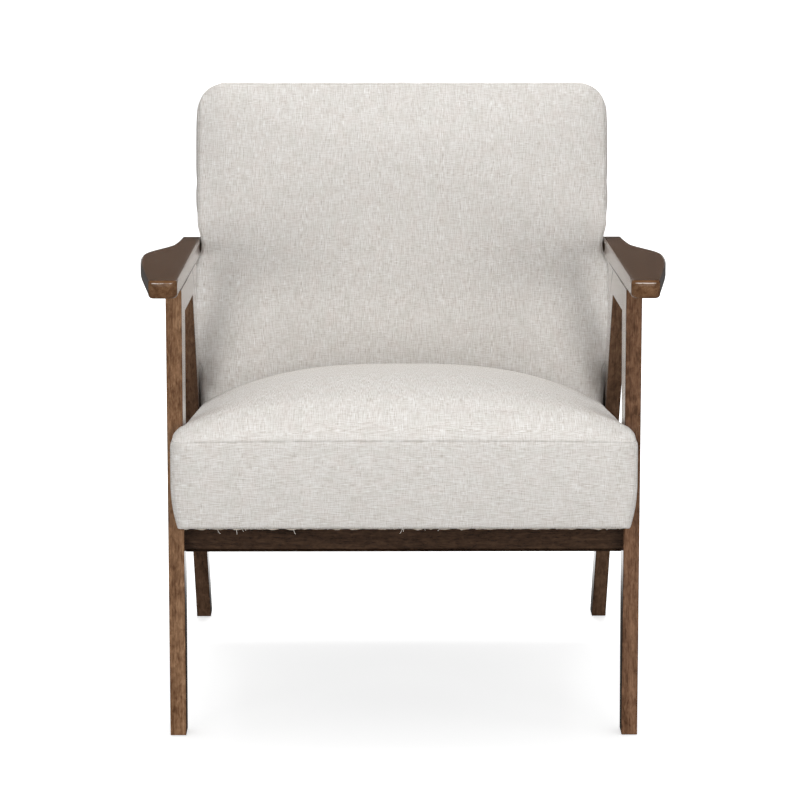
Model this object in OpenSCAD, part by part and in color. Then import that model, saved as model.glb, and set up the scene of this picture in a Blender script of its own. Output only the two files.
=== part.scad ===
// Upholstered accent chair with open wooden side frames and paddle arms.
// Millimetres, Z up, the sitter looks along -Y, floor at Z = 0.

/* [Side frames] */
// Clear width between the two side frames
inner_w = 578; // [520:1:640]
// Thickness of the legs and top rails
frame_t = 21; // [18:0.5:26]
// Depth of the front leg at the floor
front_foot_d = 36; // [30:1:44]
// Depth of the front leg under the arm
front_leg_d = 76; // [62:1:90]
// How far the front edge of the front leg leans back over its height
front_lean = 4; // [0:1:12]
// Depth of the rear leg at the floor
rear_foot_d = 40; // [34:1:50]
// Slope of the rear leg's front edge from upright, in degrees
rear_splay = 35.7; // [32:0.1:38]
// Face of the back to the front edge of the rear leg, at the seat's ledge
rear_setback = 52; // [46:1:58]
// Length of the rear leg's upright head along the arm
rear_head_d = 93; // [80:1:105]
// Height of the rear leg's upright head below the arm
rear_head_h = 64; // [52:1:80]
// Height of the top rail
top_rail_h = 36; // [30:1:44]
// Thickness of the glides under the feet
glide_t = 1.2; // [1:0.1:5]
// Diameter of the glides under the feet
glide_d = 18; // [14:1:20]

/* [Arms] */
// Height of the arm's top at its front end
arm_z = 622.5; // [560:0.5:680]
// Thickness of the arm
arm_t = 21.5; // [16:0.5:26]
// How far the arm runs past the face of the back
arm_past_back = 53; // [48:1:60]
// Slope of the arm down to the back, in degrees
arm_slope = 2.08; // [0:0.02:4]
// How far the arm reaches in front of the front foot
arm_overhang = 87; // [50:1:110]
// Width of the arm at its front end
arm_front_w = 36; // [32:1:50]
// Widest part of the arm
arm_wide_w = 67.5; // [58:0.5:85]
// Width of the arm at its rear end
arm_rear_w = 28; // [24:1:36]

/* [Seat] */
// How far the seat reaches in front of the front foot
seat_overhang = 43; // [30:1:50]
// Height of the seat's underside at the front
seat_z = 291; // [250:1:330]
// Slope of the seat down to the back, in degrees
seat_rake = 6.7; // [4:0.1:9]
// Rear edge of the rear leg to the rear end of the seat, at its underside
seat_end_in = 7; // [2:1:14]
// Seat front to the face of the back, at the ledge
seat_depth = 443; // [400:1:455]
// How far the seat's front wraps before each leg
seat_wrap = 15.5; // [8:0.5:20]
// Height of the front panel up to its seam
seat_front_h = 113; // [95:1:135]
// Height of the seat's side edge above its underside
seat_side_h = 136; // [115:1:150]
// Rise of the seat's middle above its side edges
seat_crown = 54; // [25:1:70]
// Height of the ledge that carries the back
ledge_h = 60; // [55:1:75]

/* [Back] */
// Slope of the back from upright, in degrees
back_recline = 13; // [10:0.5:18]
// Length of the back along its slope
back_h = 538; // [480:1:600]
// Thickness of the back at its edge
back_t = 90; // [86:1:110]
// How far the back swells above each arm
back_swell = 5.5; // [0:0.5:16]
// How far the back swells between the rear leg and the arm
back_bulge = 6; // [0:0.5:10]
// Rise of the back's middle before its edges
back_crown = 24; // [10:1:34]
// Radius of the back's two top corners
back_corner_r = 41; // [25:1:60]

/* [Wooden frames inside the cushions] */
// Thickness of the boards
board_t = 22; // [18:0.5:25]
// Height of the seat frame's rails
seat_rail_h = 45; // [42:1:48]
// Depth of the back frame's boards
back_board_d = 50; // [46:1:52]
// Length of a corner block's two straight sides
block_leg = 50; // [40:1:70]
// Height of a corner block
block_h = 18; // [14:1:20]

/* [Stretchers] */
// Thickness of the front stretcher
front_stretcher_t = 24; // [20:1:26]
// Height of the front stretcher
front_stretcher_h = 34; // [32:1:50]
// Setback of the front stretcher from the front foot
front_stretcher_y = 25; // [14:1:28]
// Thickness of the rear stretcher
rear_stretcher_t = 22; // [18:1:24]
// Height of the rear stretcher
rear_stretcher_h = 30; // [28:1:34]

/* [Covers and straps] */
// Thickness of the fabric cover with its lining
cover_t = 2; // [1.5:0.1:3]
// Width of the cover's turned-in edge
hem_w = 18; // [12:1:24]
// Thickness of the dust cover and of the outer back panel
panel_t = 1.5; // [1:0.1:3]
// Width of a webbing strap
strap_w = 50; // [40:1:60]
// Thickness of a webbing strap
strap_t = 1.5; // [1:0.1:2]

/* [Fasteners] */
// Diameter of the connecting bolts
bolt_d = 8; // [6:1:8]
// Outer diameter of the insert nuts
insert_d = 12; // [11:1:14]
// Length of the insert nuts
insert_len = 14; // [10:1:15]
// Diameter of the wooden dowels
dowel_d = 8; // [6:1:10]
// Diameter of the screws into the arms and corner blocks
screw_d = 5; // [4:0.5:6]

/* [Hidden] */
$fn = 48;

// Clearances
side_gap = 0.5;
fit = 0.3;
dowel_fit = 0.1;
cut = 1;
// How far bores run past the inside of the boards
bore_past = 2;

// Colours of the pieces
wood_colour = "#5f4736";
board_colour = "#cda873";
fabric_colour = "#d9d4cb";
foam_colour = "#f0e6bc";
strap_colour = "#6b6558";
dust_colour = "#2b2b2b";
steel_colour = "#b9bcc0";

// Side frame, in the upright plane from front (Y) to top (Z)
side_x = inner_w / 2;
leg_x = side_x + frame_t / 2;
arm_front_y = -arm_overhang;
function arm_under_z(y) = arm_z - arm_t / cos(arm_slope) - (y - arm_front_y) * tan(arm_slope);
function leg_front_y(z) = front_lean * z / arm_under_z(0);
function leg_back_y(z) =
    front_foot_d + (front_lean + front_leg_d - front_foot_d) * z / arm_under_z(front_leg_d);
rail_front_y = leg_back_y(arm_under_z(front_leg_d) - top_rail_h);

// The seat starts at seat_y0, and the face of the back stands on its ledge at back_y0, back_z0
seat_y0 = -seat_overhang - ledge_h * sin(seat_rake);
back_y0 = seat_y0 + seat_depth * cos(seat_rake) + ledge_h * sin(seat_rake);
back_z0 = seat_z - seat_depth * sin(seat_rake) + ledge_h * cos(seat_rake);
arm_len =
    (back_y0 - arm_front_y + (arm_z - back_z0) * tan(back_recline) + arm_past_back)
    / (cos(arm_slope) + sin(arm_slope) * tan(back_recline));

// Rear leg: straight front and rear edges from the foot up to its upright head
function rear_leg_front_y(z) = back_y0 + rear_setback - (z - back_z0) * tan(rear_splay);
rear_joint_y =
    rear_leg_front_y(arm_under_z(0) - top_rail_h) / (1 - tan(arm_slope) * tan(rear_splay));
head_back_y = rear_joint_y + rear_head_d;
rear_foot_y = rear_leg_front_y(glide_t);
rear_foot_back_y = rear_foot_y + rear_foot_d;
rear_edge_slope =
    (rear_foot_back_y - head_back_y) / (arm_under_z(head_back_y) - rear_head_h - glide_t);
function rear_leg_back_y(z) = rear_foot_back_y - (z - glide_t) * rear_edge_slope;
front_y = arm_front_y - arm_t * sin(arm_slope);
mid_y = (front_y + rear_foot_back_y) / 2;

// Rows of dowels, as distances from the front foot
arm_dowel_y = [
    front_leg_d * 0.42, rail_front_y * 0.7 + rear_joint_y * 0.3,
    rail_front_y * 0.3 + rear_joint_y * 0.7, rear_joint_y + rear_head_d * 0.62
];
arm_dowel_depth = 12;
arm_dowel_len = 34;
rail_dowel_len = 44;
rail_dowel_drop = [top_rail_h * 0.27, top_rail_h * 0.73];
leg_dowel_depth = 14;
stretcher_dowel_len = 40;
stretcher_dowel_in = 9;

// Seat, in its own sloping frame: Y along the underside, Z square to it
seat_hw = side_x - side_gap;
ear_hw = side_x + seat_wrap;
ear_end = (seat_overhang + leg_front_y(seat_z) - side_gap) / cos(seat_rake);
seat_lean = back_recline - seat_rake;
board_hw = seat_hw - cover_t - 4 * fit;
board_in_x = board_hw - board_t;
seat_board_z = cover_t + fit;
seat_board_top = seat_board_z + seat_rail_h;
seat_board_y = 20;
// Distance along the seat to a share of the rear leg's depth, at a height above the underside
function seat_y_at_leg(share, height) =
    let (
        slope = (1 - share) * tan(rear_splay) + share * rear_edge_slope,
        floor_y = (1 - share) * rear_leg_front_y(0) + share * rear_leg_back_y(0)
    )
    (floor_y - slope * (seat_z + height * cos(seat_rake)) - seat_y0 - height * sin(seat_rake))
        / (cos(seat_rake) - slope * sin(seat_rake));
seat_len = seat_y_at_leg(1, 0) - seat_end_in;
seat_board_end = seat_len - cover_t - fit;
seat_bolt_drop = 14;
seat_bolt_z = seat_board_top - seat_bolt_drop;
seat_bolt_y = [
    ((leg_front_y(seat_z) + leg_back_y(seat_z)) / 2 - seat_y0) / cos(seat_rake),
    seat_y_at_leg(0.5, seat_bolt_z)
];

// Back, in its own sloping frame: Y from face to rear, Z up the slope
back_hw = seat_hw - 0.2;
back_board_y = back_t - cover_t - 2 * fit - back_board_d;
back_board_gap = 3;
back_board_z = back_t * tan(seat_lean) + cover_t + back_board_gap;
back_board_top = back_h - cover_t - back_corner_r * 0.58;
arm_on_back_z = (arm_z - arm_len * sin(arm_slope) - back_z0) / cos(back_recline);
arm_under_on_back_z = arm_on_back_z - arm_t / cos(back_recline);
// Height on the back where the rear leg's rear edge passes the face
leg_on_back_z =
    (rear_foot_back_y + glide_t * rear_edge_slope - back_y0 - back_z0 * rear_edge_slope)
    / (rear_edge_slope + tan(back_recline)) / cos(back_recline);
widen_above_arm = 8;
back_widen_z = arm_on_back_z + widen_above_arm;
washer_d = 2 * bolt_d;
washer_gap = 1;
back_bolt_z = back_board_z + board_t + washer_d / 2 + washer_gap;
back_bolt_y = back_board_y + back_board_d * 0.45;
arm_screw_in = 8;
arm_screw_y = arm_len - arm_screw_in;

// Placing frames
module in_chair() translate([0, -mid_y, 0]) children();
module on_seat() in_chair() translate([0, seat_y0, seat_z]) rotate([-seat_rake, 0, 0]) children();
module on_back()
    on_seat() translate([0, seat_depth, ledge_h]) rotate([-seat_lean, 0, 0]) children();
module on_arm() in_chair() translate([0, arm_front_y, arm_z]) rotate([-arm_slope, 0, 0]) children();
module both_sides() {
    children();
    mirror([1, 0, 0]) children();
}
// A rod along X from x0, on one side
module cross_rod(x0, len, d) translate([x0, 0, 0]) rotate([0, 90, 0]) cylinder(h = len, d = d);
// A slab cut from a side outline given as [y, z] points
module side_slab(outline)
    in_chair() translate([side_x, 0, 0])
        rotate([90, 0, 90]) linear_extrude(frame_t) polygon(outline);

// Hardware that the wooden pieces are bored for
module arm_dowel_rods(d)
    on_arm() for (y = arm_dowel_y)
        translate([leg_x, (y - arm_front_y) / cos(arm_slope), -arm_t + arm_dowel_depth - arm_dowel_len])
            cylinder(h = arm_dowel_len, d = d);
module rail_dowel_rods(d)
    in_chair() for (joint_y = [rail_front_y, rear_joint_y], drop = rail_dowel_drop)
        translate([leg_x, joint_y - rail_dowel_len / 2, arm_under_z(joint_y) - drop])
            rotate([-90, 0, 0]) cylinder(h = rail_dowel_len, d = d);
module stretcher_dowel_rods(y_mid, h, d)
    on_seat() for (z = [-stretcher_dowel_in, stretcher_dowel_in - h])
        translate([0, y_mid, z - panel_t])
            cross_rod(side_x + leg_dowel_depth - stretcher_dowel_len, stretcher_dowel_len, d);
front_stretcher_mid =
    (front_stretcher_y + front_stretcher_t / 2 - seat_y0 + front_stretcher_h / 2 * sin(seat_rake))
    / cos(seat_rake);
rear_stretcher_mid = seat_y_at_leg(0, -panel_t - rear_stretcher_h) + rear_stretcher_t / 2;
module all_stretcher_dowels(d) {
    stretcher_dowel_rods(front_stretcher_mid, front_stretcher_h, d);
    stretcher_dowel_rods(rear_stretcher_mid, rear_stretcher_h, d);
}
// Bolt holes and bolts run outward along X from the inside of the boards
module bolt_places() {
    on_seat() for (y = seat_bolt_y) translate([0, y, seat_bolt_z]) children();
    on_back() translate([0, back_bolt_y, back_bolt_z]) children();
}
bolt_tip_in = 1;
bolt_tip_x = side_x + insert_len - bolt_tip_in;
module bolt_rods(d)
    bolt_places() cross_rod(board_in_x - bore_past, bolt_tip_x - board_in_x + bore_past, d);
module insert_rods(d) bolt_places() cross_rod(side_x, insert_len, d);
// Screws from the back's side boards into the rear ends of the arms
arm_screw_reach = arm_rear_w * 0.62;
module arm_screw_places() on_arm() translate([0, arm_screw_y, -arm_t / 2]) children();
module arm_screw_rods(d)
    arm_screw_places()
        cross_rod(board_in_x - bore_past, side_x + arm_screw_reach - board_in_x + bore_past, d);
// Pairs of screws through the corner blocks, square to their long side
block_screw_len = 40;
block_screw_step = 16;
block_corner_y = [seat_board_y + board_t, seat_board_end - board_t];
module block_corners()
    on_seat() for (end = [0, 1])
        translate([board_in_x, block_corner_y[end], seat_board_z])
            mirror([0, end, 0]) children();
module block_screw_rods(d)
    block_corners() for (side = [-1, 1])
        translate([-block_leg / 2, block_leg / 2, block_h / 2]) rotate([0, 0, -45])
            translate([-bore_past, side * block_screw_step, 0]) rotate([0, 90, 0])
                cylinder(h = block_screw_len, d = d);

// Outline of a leg, rail or arm in its flat plane
function front_leg_outline() = [
    [0, glide_t], [front_foot_d, glide_t],
    [leg_back_y(arm_under_z(front_leg_d)), arm_under_z(leg_back_y(arm_under_z(front_leg_d)))],
    [leg_front_y(arm_under_z(0)), arm_under_z(leg_front_y(arm_under_z(0)))]
];
function rear_leg_outline() = [
    [rear_foot_y, glide_t], [rear_foot_back_y, glide_t],
    [head_back_y, arm_under_z(head_back_y) - rear_head_h], [head_back_y, arm_under_z(head_back_y)],
    [rear_joint_y, arm_under_z(rear_joint_y)],
    [rear_joint_y, arm_under_z(rear_joint_y) - top_rail_h]
];
function top_rail_outline() =
    let (top_y = leg_back_y(arm_under_z(front_leg_d))) [
        [rail_front_y, arm_under_z(rail_front_y) - top_rail_h],
        [rear_joint_y, arm_under_z(rear_joint_y) - top_rail_h],
        [rear_joint_y, arm_under_z(rear_joint_y)], [top_y, arm_under_z(top_y)]
    ];
// Points of a cubic curve from a to d with handles b and c, without its start
function curve(a, b, c, d, steps) = [
    for (i = [1:steps])
        let (t = i / steps, s = 1 - t)
            s * s * s * a + 3 * s * s * t * b + 3 * s * t * t * c + t * t * t * d
];
// Paddle outline of the arm: x outward from its straight inner edge, y to the rear
arm_nose_r = 7;
arm_wide_y = 0.56 * arm_len;
arm_waist_y = 0.80 * arm_len;
arm_waist_w = arm_rear_w + 6.5;
function arm_outline() = concat(
    [[0, 0], [arm_front_w - arm_nose_r, 0]],
    curve([arm_front_w - arm_nose_r, 0], [arm_front_w - 2, 0], [arm_front_w + 1, 2],
        [arm_front_w + 1.5, arm_nose_r], 5),
    curve([arm_front_w + 1.5, arm_nose_r], [arm_wide_w - 16, 0.24 * arm_len],
        [arm_wide_w, 0.38 * arm_len], [arm_wide_w, arm_wide_y], 14),
    curve([arm_wide_w, arm_wide_y], [arm_wide_w, 0.655 * arm_len],
        [arm_waist_w + 9, 0.715 * arm_len], [arm_waist_w, arm_waist_y], 12),
    curve([arm_waist_w, arm_waist_y], [arm_rear_w + 3, 0.86 * arm_len],
        [arm_rear_w + 1, 0.93 * arm_len], [arm_rear_w, arm_len], 5),
    [[0, arm_len]]
);

// Wooden side frames
module front_leg()
    difference() {
        side_slab(front_leg_outline());
        arm_dowel_rods(dowel_d + dowel_fit);
        rail_dowel_rods(dowel_d + dowel_fit);
        all_stretcher_dowels(dowel_d + dowel_fit);
        insert_rods(insert_d);
    }
module rear_leg()
    difference() {
        side_slab(rear_leg_outline());
        arm_dowel_rods(dowel_d + dowel_fit);
        rail_dowel_rods(dowel_d + dowel_fit);
        all_stretcher_dowels(dowel_d + dowel_fit);
        insert_rods(insert_d);
    }
module top_rail()
    difference() {
        side_slab(top_rail_outline());
        arm_dowel_rods(dowel_d + dowel_fit);
        rail_dowel_rods(dowel_d + dowel_fit);
    }
module arm()
    difference() {
        on_arm() translate([side_x, 0, -arm_t]) linear_extrude(arm_t) polygon(arm_outline());
        arm_dowel_rods(dowel_d + dowel_fit);
        arm_screw_rods(screw_d + dowel_fit);
    }
module left_front_leg() color(wood_colour) mirror([1, 0, 0]) front_leg();
module right_front_leg() color(wood_colour) front_leg();
module left_rear_leg() color(wood_colour) mirror([1, 0, 0]) rear_leg();
module right_rear_leg() color(wood_colour) rear_leg();
module left_top_rail() color(wood_colour) mirror([1, 0, 0]) top_rail();
module right_top_rail() color(wood_colour) top_rail();
module left_arm() color(wood_colour) mirror([1, 0, 0]) arm();
module right_arm() color(wood_colour) arm();

// Stretchers between the side frames, flat under the seat
module stretcher(y_mid, t, h)
    difference() {
        on_seat() translate([-side_x, y_mid - t / 2, -panel_t - h]) cube([inner_w, t, h]);
        both_sides() stretcher_dowel_rods(y_mid, h, dowel_d + dowel_fit);
    }
module front_stretcher()
    color(wood_colour) stretcher(front_stretcher_mid, front_stretcher_t, front_stretcher_h);
module rear_stretcher()
    color(wood_colour) stretcher(rear_stretcher_mid, rear_stretcher_t, rear_stretcher_h);

// Wooden frame of the seat
module seat_cross_board(y)
    difference() {
        on_seat() translate([-board_hw, y, seat_board_z]) cube([2 * board_hw, board_t, seat_rail_h]);
        both_sides() block_screw_rods(screw_d + dowel_fit);
    }
module seat_side_board()
    difference() {
        on_seat() translate([board_in_x, block_corner_y[0], seat_board_z])
            cube([board_t, block_corner_y[1] - block_corner_y[0], seat_rail_h]);
        bolt_rods(bolt_d + 2 * fit);
        block_screw_rods(screw_d + dowel_fit);
    }
module seat_front_board() color(board_colour) seat_cross_board(seat_board_y);
module seat_rear_board() color(board_colour) seat_cross_board(block_corner_y[1]);
module seat_left_board() color(board_colour) mirror([1, 0, 0]) seat_side_board();
module seat_right_board() color(board_colour) seat_side_board();
module seat_corner_blocks()
    color(board_colour) both_sides() difference() {
        block_corners() linear_extrude(block_h)
            polygon([[0, 0], [-block_leg, 0], [0, block_leg]]);
        block_screw_rods(screw_d + dowel_fit);
    }

// Elastic webbing: straps along the seat, then straps across them
strap_end_in = 2;
seat_strap_count = 5;
seat_cross_strap_count = 4;
module strap_row(count, span, gap_from)
    for (i = [0:count - 1])
        translate([gap_from + span * (i + 0.5) / count - strap_w / 2, 0, 0]) children();
module seat_webbing()
    color(strap_colour) on_seat() {
        strap_row(seat_strap_count, 2 * board_in_x, -board_in_x)
            translate([0, seat_board_y + strap_end_in, seat_board_top])
                cube([strap_w, seat_board_end - seat_board_y - 2 * strap_end_in, strap_t]);
        for (i = [0:seat_cross_strap_count - 1])
            translate([
                strap_end_in - board_hw,
                block_corner_y[0] + (block_corner_y[1] - block_corner_y[0])
                    * (i + 0.5) / seat_cross_strap_count - strap_w / 2,
                seat_board_top + strap_t
            ])
                cube([2 * (board_hw - strap_end_in), strap_w, strap_t]);
    }

// Soft forms are rings of points joined into one closed skin
function mirrored_ring(half) = concat(
    half, [for (i = [len(half) - 2:-1:1]) [-half[i][0], half[i][1], half[i][2]]]
);
module skin(rings) {
    n = len(rings[0]);
    m = len(rings);
    middle = function(ring) [for (k = [0:2]) (ring[0][k] + ring[n / 2][k]) / 2];
    points = concat([for (ring = rings, p = ring) p], [middle(rings[0]), middle(rings[m - 1])]);
    walls = [
        for (j = [0:m - 2], i = [0:n - 1])
            let (a = j * n + i, b = j * n + (i + 1) % n, c = a + n, d = b + n)
                each [[a, b, c], [b, d, c]]
    ];
    first_cap = [for (i = [0:n - 1]) [(i + 1) % n, i, m * n]];
    last_cap = [for (i = [0:n - 1]) [(m - 1) * n + i, (m - 1) * n + (i + 1) % n, m * n + 1]];
    polyhedron(points = points, faces = concat(walls, first_cap, last_cap), convexity = 8);
}

// Seat form. Each ring lies across the seat; g shrinks it for the hollow and the foam
seat_crest_steps = [0.985, 0.965, 0.94, 0.9, 0.8, 0.68, 0.54, 0.37, 0.19, 0];
crown_power = 2.65;
seat_stations = [0.17, 0.26, 0.37, 0.52, 0.68, 0.84];
ear_corner_r = 16;
ear_round = 14;
ear_tuck = 13;
ear_shoulder = 24.5;
ear_shoulder_power = 1.8;
front_round = 6;
edge_rise_y = 40;
crown_rise_y = 210;
seam_in = 2.5;
step_gap = 1.2;
function step_y(g) = seat_depth - side_gap - g;
function ear_half(y, g) =
    y < g + ear_corner_r
        ? ear_hw - ear_corner_r + sqrt(pow(ear_corner_r, 2) - pow(ear_corner_r - (y - g), 2)) - g
        : y < ear_end - g - ear_round
            ? ear_hw - g
            : seat_hw - g + (ear_hw - seat_hw)
                * sqrt(max(0, 1 - pow((y - ear_end + g + ear_round) / ear_round, 2)));
function seat_half(y, g) = y >= ear_end - g ? seat_hw - g : ear_half(y, g);
function edge_h(y) =
    seat_front_h + (seat_side_h - seat_front_h) * sin(90 * min(1, y / edge_rise_y));
function crown_h(y) = seat_crown * pow(sin(90 * min(1, max(0, y) / crown_rise_y)), 0.8);
// The side wall's height: over the ears it stays level with the front seam
function wall_h(y, half, g) =
    y < ear_corner_r
        ? seat_front_h
        : edge_h(y) - (edge_h(y) - seat_front_h) * (half - seat_hw + g) / (ear_hw - seat_hw);
// Height of the top, curving down to the wall over the ears
function top_h(x, y, half, g) =
    let (
        full = edge_h(y)
            + crown_h(y) * (1 - pow(min(1, x / (seat_hw - g - seam_in)), crown_power)),
        low = wall_h(y, half, g),
        outer = half - seam_in,
        from = min(outer - 2, ear_hw - ear_shoulder),
        u = max(0, x - from) / (outer - from)
    )
    low + (full - low) * pow(max(0, 1 - pow(u, ear_shoulder_power)), 1 / ear_shoulder_power);
front_lean_in = -tan(seat_rake);
back_lean_in = tan(seat_lean);
function lean_at(y) =
    front_lean_in + (back_lean_in - front_lean_in) * max(0, y - ear_end) / (seat_depth - ear_end);
function seat_ring(y, half, g, lean, ledge = 0, tuck = 0, round_in = 0) =
    let (
        z0 = g + round_in,
        z1 = (ledge > 0 ? ledge : wall_h(y, half, g)) - g - round_in * 0.4,
        side = [
            [0, z0], [half * 0.5, z0], [half - tuck, z0],
            [half - tuck * 0.45, z0 + (z1 - z0) * 0.1],
            [half - tuck * 0.12, z0 + (z1 - z0) * 0.24],
            [half, z0 + (z1 - z0) * 0.5], [half - 0.6, z0 + (z1 - z0) * 0.78],
            [half - seam_in, z1]
        ],
        crest = [
            for (f = seat_crest_steps)
                let (x = (half - seam_in) * f)
                    [x, ledge > 0 ? z1 : top_h(x, y, half, g) - g - round_in * 0.4]
        ]
    )
    mirrored_ring([
        for (p = concat(side, crest)) [p[0], y + lean * (p[1] - ledge_h), p[1]]
    ]);
function front_stations(g) = [
    for (k = [0, 0.16, 0.5, 1]) g + ear_corner_r * k,
    for (k = [0, 0.5, 0.8, 0.95, 1]) ear_end - g - ear_round + ear_round * k
];
function seat_rings(g) = concat(
    [
        for (y = front_stations(g))
            let (
                near = max(0, 1 - (y - g) / front_round),
                tuck = ear_tuck * min(1, (ear_end - g - y) / 10)
            )
            seat_ring(y, seat_half(y, g), g, front_lean_in, tuck = tuck,
                round_in = front_round * (1 - sqrt(1 - near * near)))
    ],
    [
        for (share = seat_stations)
            let (y = share * seat_depth) seat_ring(y, seat_hw - g, g, lean_at(y))
    ],
    [
        seat_ring(step_y(g) - step_gap, seat_hw - g, g, back_lean_in),
        seat_ring(step_y(g), seat_hw - g, g, back_lean_in, ledge = ledge_h),
        seat_ring(seat_len - g, seat_hw - g, g, 0, ledge = ledge_h)
    ]
);
module seat_form(g) on_seat() skin(seat_rings(g));
module seat_foam()
    color(foam_colour) difference() {
        seat_form(cover_t + fit + 0.2);
        foam_pocket_h = seat_board_top + 2 * strap_t + fit + cut;
        on_seat() {
            translate([-board_hw - fit, seat_board_y - fit, -cut])
                cube([2 * (board_hw + fit), seat_len, foam_pocket_h]);
            translate([-seat_hw, ear_end, -cut]) cube([2 * seat_hw, seat_len, foam_pocket_h]);
        }
    }
module seat_cover()
    color(fabric_colour) difference() {
        seat_form(0);
        seat_form(cover_t);
        on_seat() translate([hem_w - board_hw, seat_board_y + hem_w, -cut])
            cube([
                2 * (board_hw - hem_w), seat_board_end - seat_board_y - 2 * hem_w,
                2 * cut + cover_t
            ]);
        both_sides() bolt_places() cross_rod(board_hw - 1, board_t / 2, bolt_d + 4 * fit);
    }
dust_in = 6;
module seat_dust_cover()
    color(dust_colour) on_seat() translate([dust_in - board_hw, seat_board_y + dust_in, -panel_t])
        cube([2 * (board_hw - dust_in), seat_board_end - seat_board_y - 2 * dust_in, panel_t]);

// Back form. Each ring lies across the back, from the rear face round to the front
back_crest_steps = [0.97, 0.9, 0.8, 0.68, 0.54, 0.37, 0.19, 0];
back_edge_r = 10;
back_crown_power = 2.6;
back_crown_from = 150;
back_crown_full = 300;
back_crown_fade = 150;
back_widen_h = 45;
back_wide_z = back_widen_z + back_widen_h;
back_corner_z = back_h - back_corner_r;
// The back swells between the rear leg and the arm, is nipped in by the arm, and swells above it
bulge_above_leg = 20;
bulge_from_z = leg_on_back_z + bulge_above_leg;
bulge_rise_h = 35;
bulge_fall_h = 28;
function rise(share) = sin(90 * min(1, max(0, share)));
function back_base_half(z) =
    back_hw + back_swell * rise((z - back_widen_z) / back_widen_h)
        + back_bulge * rise((z - bulge_from_z) / bulge_rise_h)
            * rise((arm_under_on_back_z - z) / bulge_fall_h);
function back_half(z, g) =
    let (from_top = back_h - g - z, r = back_corner_r - g)
    back_base_half(z) - g - (from_top < r ? r - sqrt(max(0, r * r - pow(r - from_top, 2))) : 0);
function back_rise(z) =
    back_crown * pow(sin(90 * min(1, max(0, z - back_crown_from) / back_crown_full)), 0.9)
        * pow(sin(90 * min(1, max(0, back_h - z) / back_crown_fade)), 0.8);
function back_ring(z, g, lean = 0) =
    let (
        from_top = back_h - g - z,
        edge = from_top < back_edge_r
            ? back_edge_r - sqrt(pow(back_edge_r, 2) - pow(back_edge_r - from_top, 2)) : 0,
        hw = back_half(z, g),
        y0 = g + edge,
        y1 = back_t - g - edge,
        side = [
            [0, y1], [hw * 0.5, y1], [hw - 1, y1], [hw, y1 - 1.6], [hw, (y0 + y1) / 2],
            [hw, y0 + 9], [hw - 1.5, y0 + 3], [hw - 6, y0]
        ],
        crest = [
            for (f = back_crest_steps)
                [(hw - 6) * f, y0 - back_rise(z) * (1 - pow(f, back_crown_power))]
        ]
    )
    mirrored_ring([for (p = concat(side, crest)) [p[0], p[1], z + lean * p[1]]]);
function back_rings(g) = concat(
    [back_ring(g + side_gap, g, tan(seat_lean))],
    [back_ring(0.5 * bulge_from_z, g)],
    [for (share = [0, 0.4, 1]) back_ring(bulge_from_z + share * bulge_rise_h, g)],
    [for (share = [1, 0.45, 0]) back_ring(arm_under_on_back_z - share * bulge_fall_h, g)],
    [back_ring(back_widen_z, g)],
    [back_ring(back_widen_z + 0.4 * back_widen_h, g), back_ring(back_wide_z, g)],
    [
        for (share = [0.1, 0.5, 1])
            back_ring(back_wide_z + share * (back_corner_z - back_wide_z), g)
    ],
    [for (a = [22, 44, 62, 76, 90]) back_ring(back_corner_z + (back_corner_r - g) * sin(a), g)]
);
module back_form(g) on_back() skin(back_rings(g));
module back_foam()
    color(foam_colour) difference() {
        back_form(cover_t + fit + 0.2);
        on_back() {
            translate([-board_hw - fit, back_board_y - strap_t - fit, -cut])
                cube([2 * (board_hw + fit), back_t, back_board_top + fit + cut]);
            translate([-back_hw, back_board_y - strap_t - fit, -cut])
                cube([2 * back_hw, back_t, back_widen_z + cut]);
        }
    }
module back_cover()
    color(fabric_colour) difference() {
        back_form(0);
        back_form(cover_t);
        on_back() translate([hem_w - board_hw, back_t - cover_t - cut, back_board_z + hem_w])
            cube([
                2 * (board_hw - hem_w), 2 * cut + cover_t,
                back_board_top - back_board_z - 2 * hem_w
            ]);
        both_sides() bolt_places() cross_rod(board_hw - 1, board_t / 2, bolt_d + 4 * fit);
        both_sides() arm_screw_places() cross_rod(board_hw - 1, board_t / 2, screw_d + 4 * fit);
    }
panel_in = 9;
panel_rise = 4;
panel_corner_r = back_corner_r - panel_in;
module back_outer_panel()
    color(fabric_colour) on_back()
        translate([0, back_t, back_board_z + panel_rise]) rotate([90, 0, 0]) mirror([0, 0, 1])
            linear_extrude(panel_t) union() {
                panel_h = back_h - panel_in - back_board_z - panel_rise;
                panel_hw = back_hw - panel_in;
                translate([-panel_hw, 0]) square([2 * panel_hw, panel_h - panel_corner_r]);
                translate([panel_corner_r - panel_hw, 0])
                    square([2 * (panel_hw - panel_corner_r), panel_h]);
                for (side = [-1, 1])
                    translate([side * (panel_hw - panel_corner_r), panel_h - panel_corner_r])
                        circle(r = panel_corner_r);
            }

// Wooden frame and webbing of the back
module back_side_board()
    difference() {
        on_back() translate([board_in_x, back_board_y, back_board_z])
            cube([board_t, back_board_d, back_board_top - back_board_z]);
        bolt_rods(bolt_d + 2 * fit);
        arm_screw_rods(screw_d + dowel_fit);
    }
module back_cross_board(z)
    on_back() translate([-board_in_x, back_board_y, z]) cube([2 * board_in_x, back_board_d, board_t]);
module back_left_board() color(board_colour) mirror([1, 0, 0]) back_side_board();
module back_right_board() color(board_colour) back_side_board();
module back_top_board() color(board_colour) back_cross_board(back_board_top - board_t);
module back_bottom_board() color(board_colour) back_cross_board(back_board_z);
back_strap_count = 5;
module back_webbing()
    color(strap_colour) on_back()
        strap_row(back_strap_count, 2 * board_in_x, -board_in_x)
            translate([0, back_board_y - strap_t, back_board_z + strap_end_in])
                cube([strap_w, strap_t, back_board_top - back_board_z - 2 * strap_end_in]);

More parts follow.
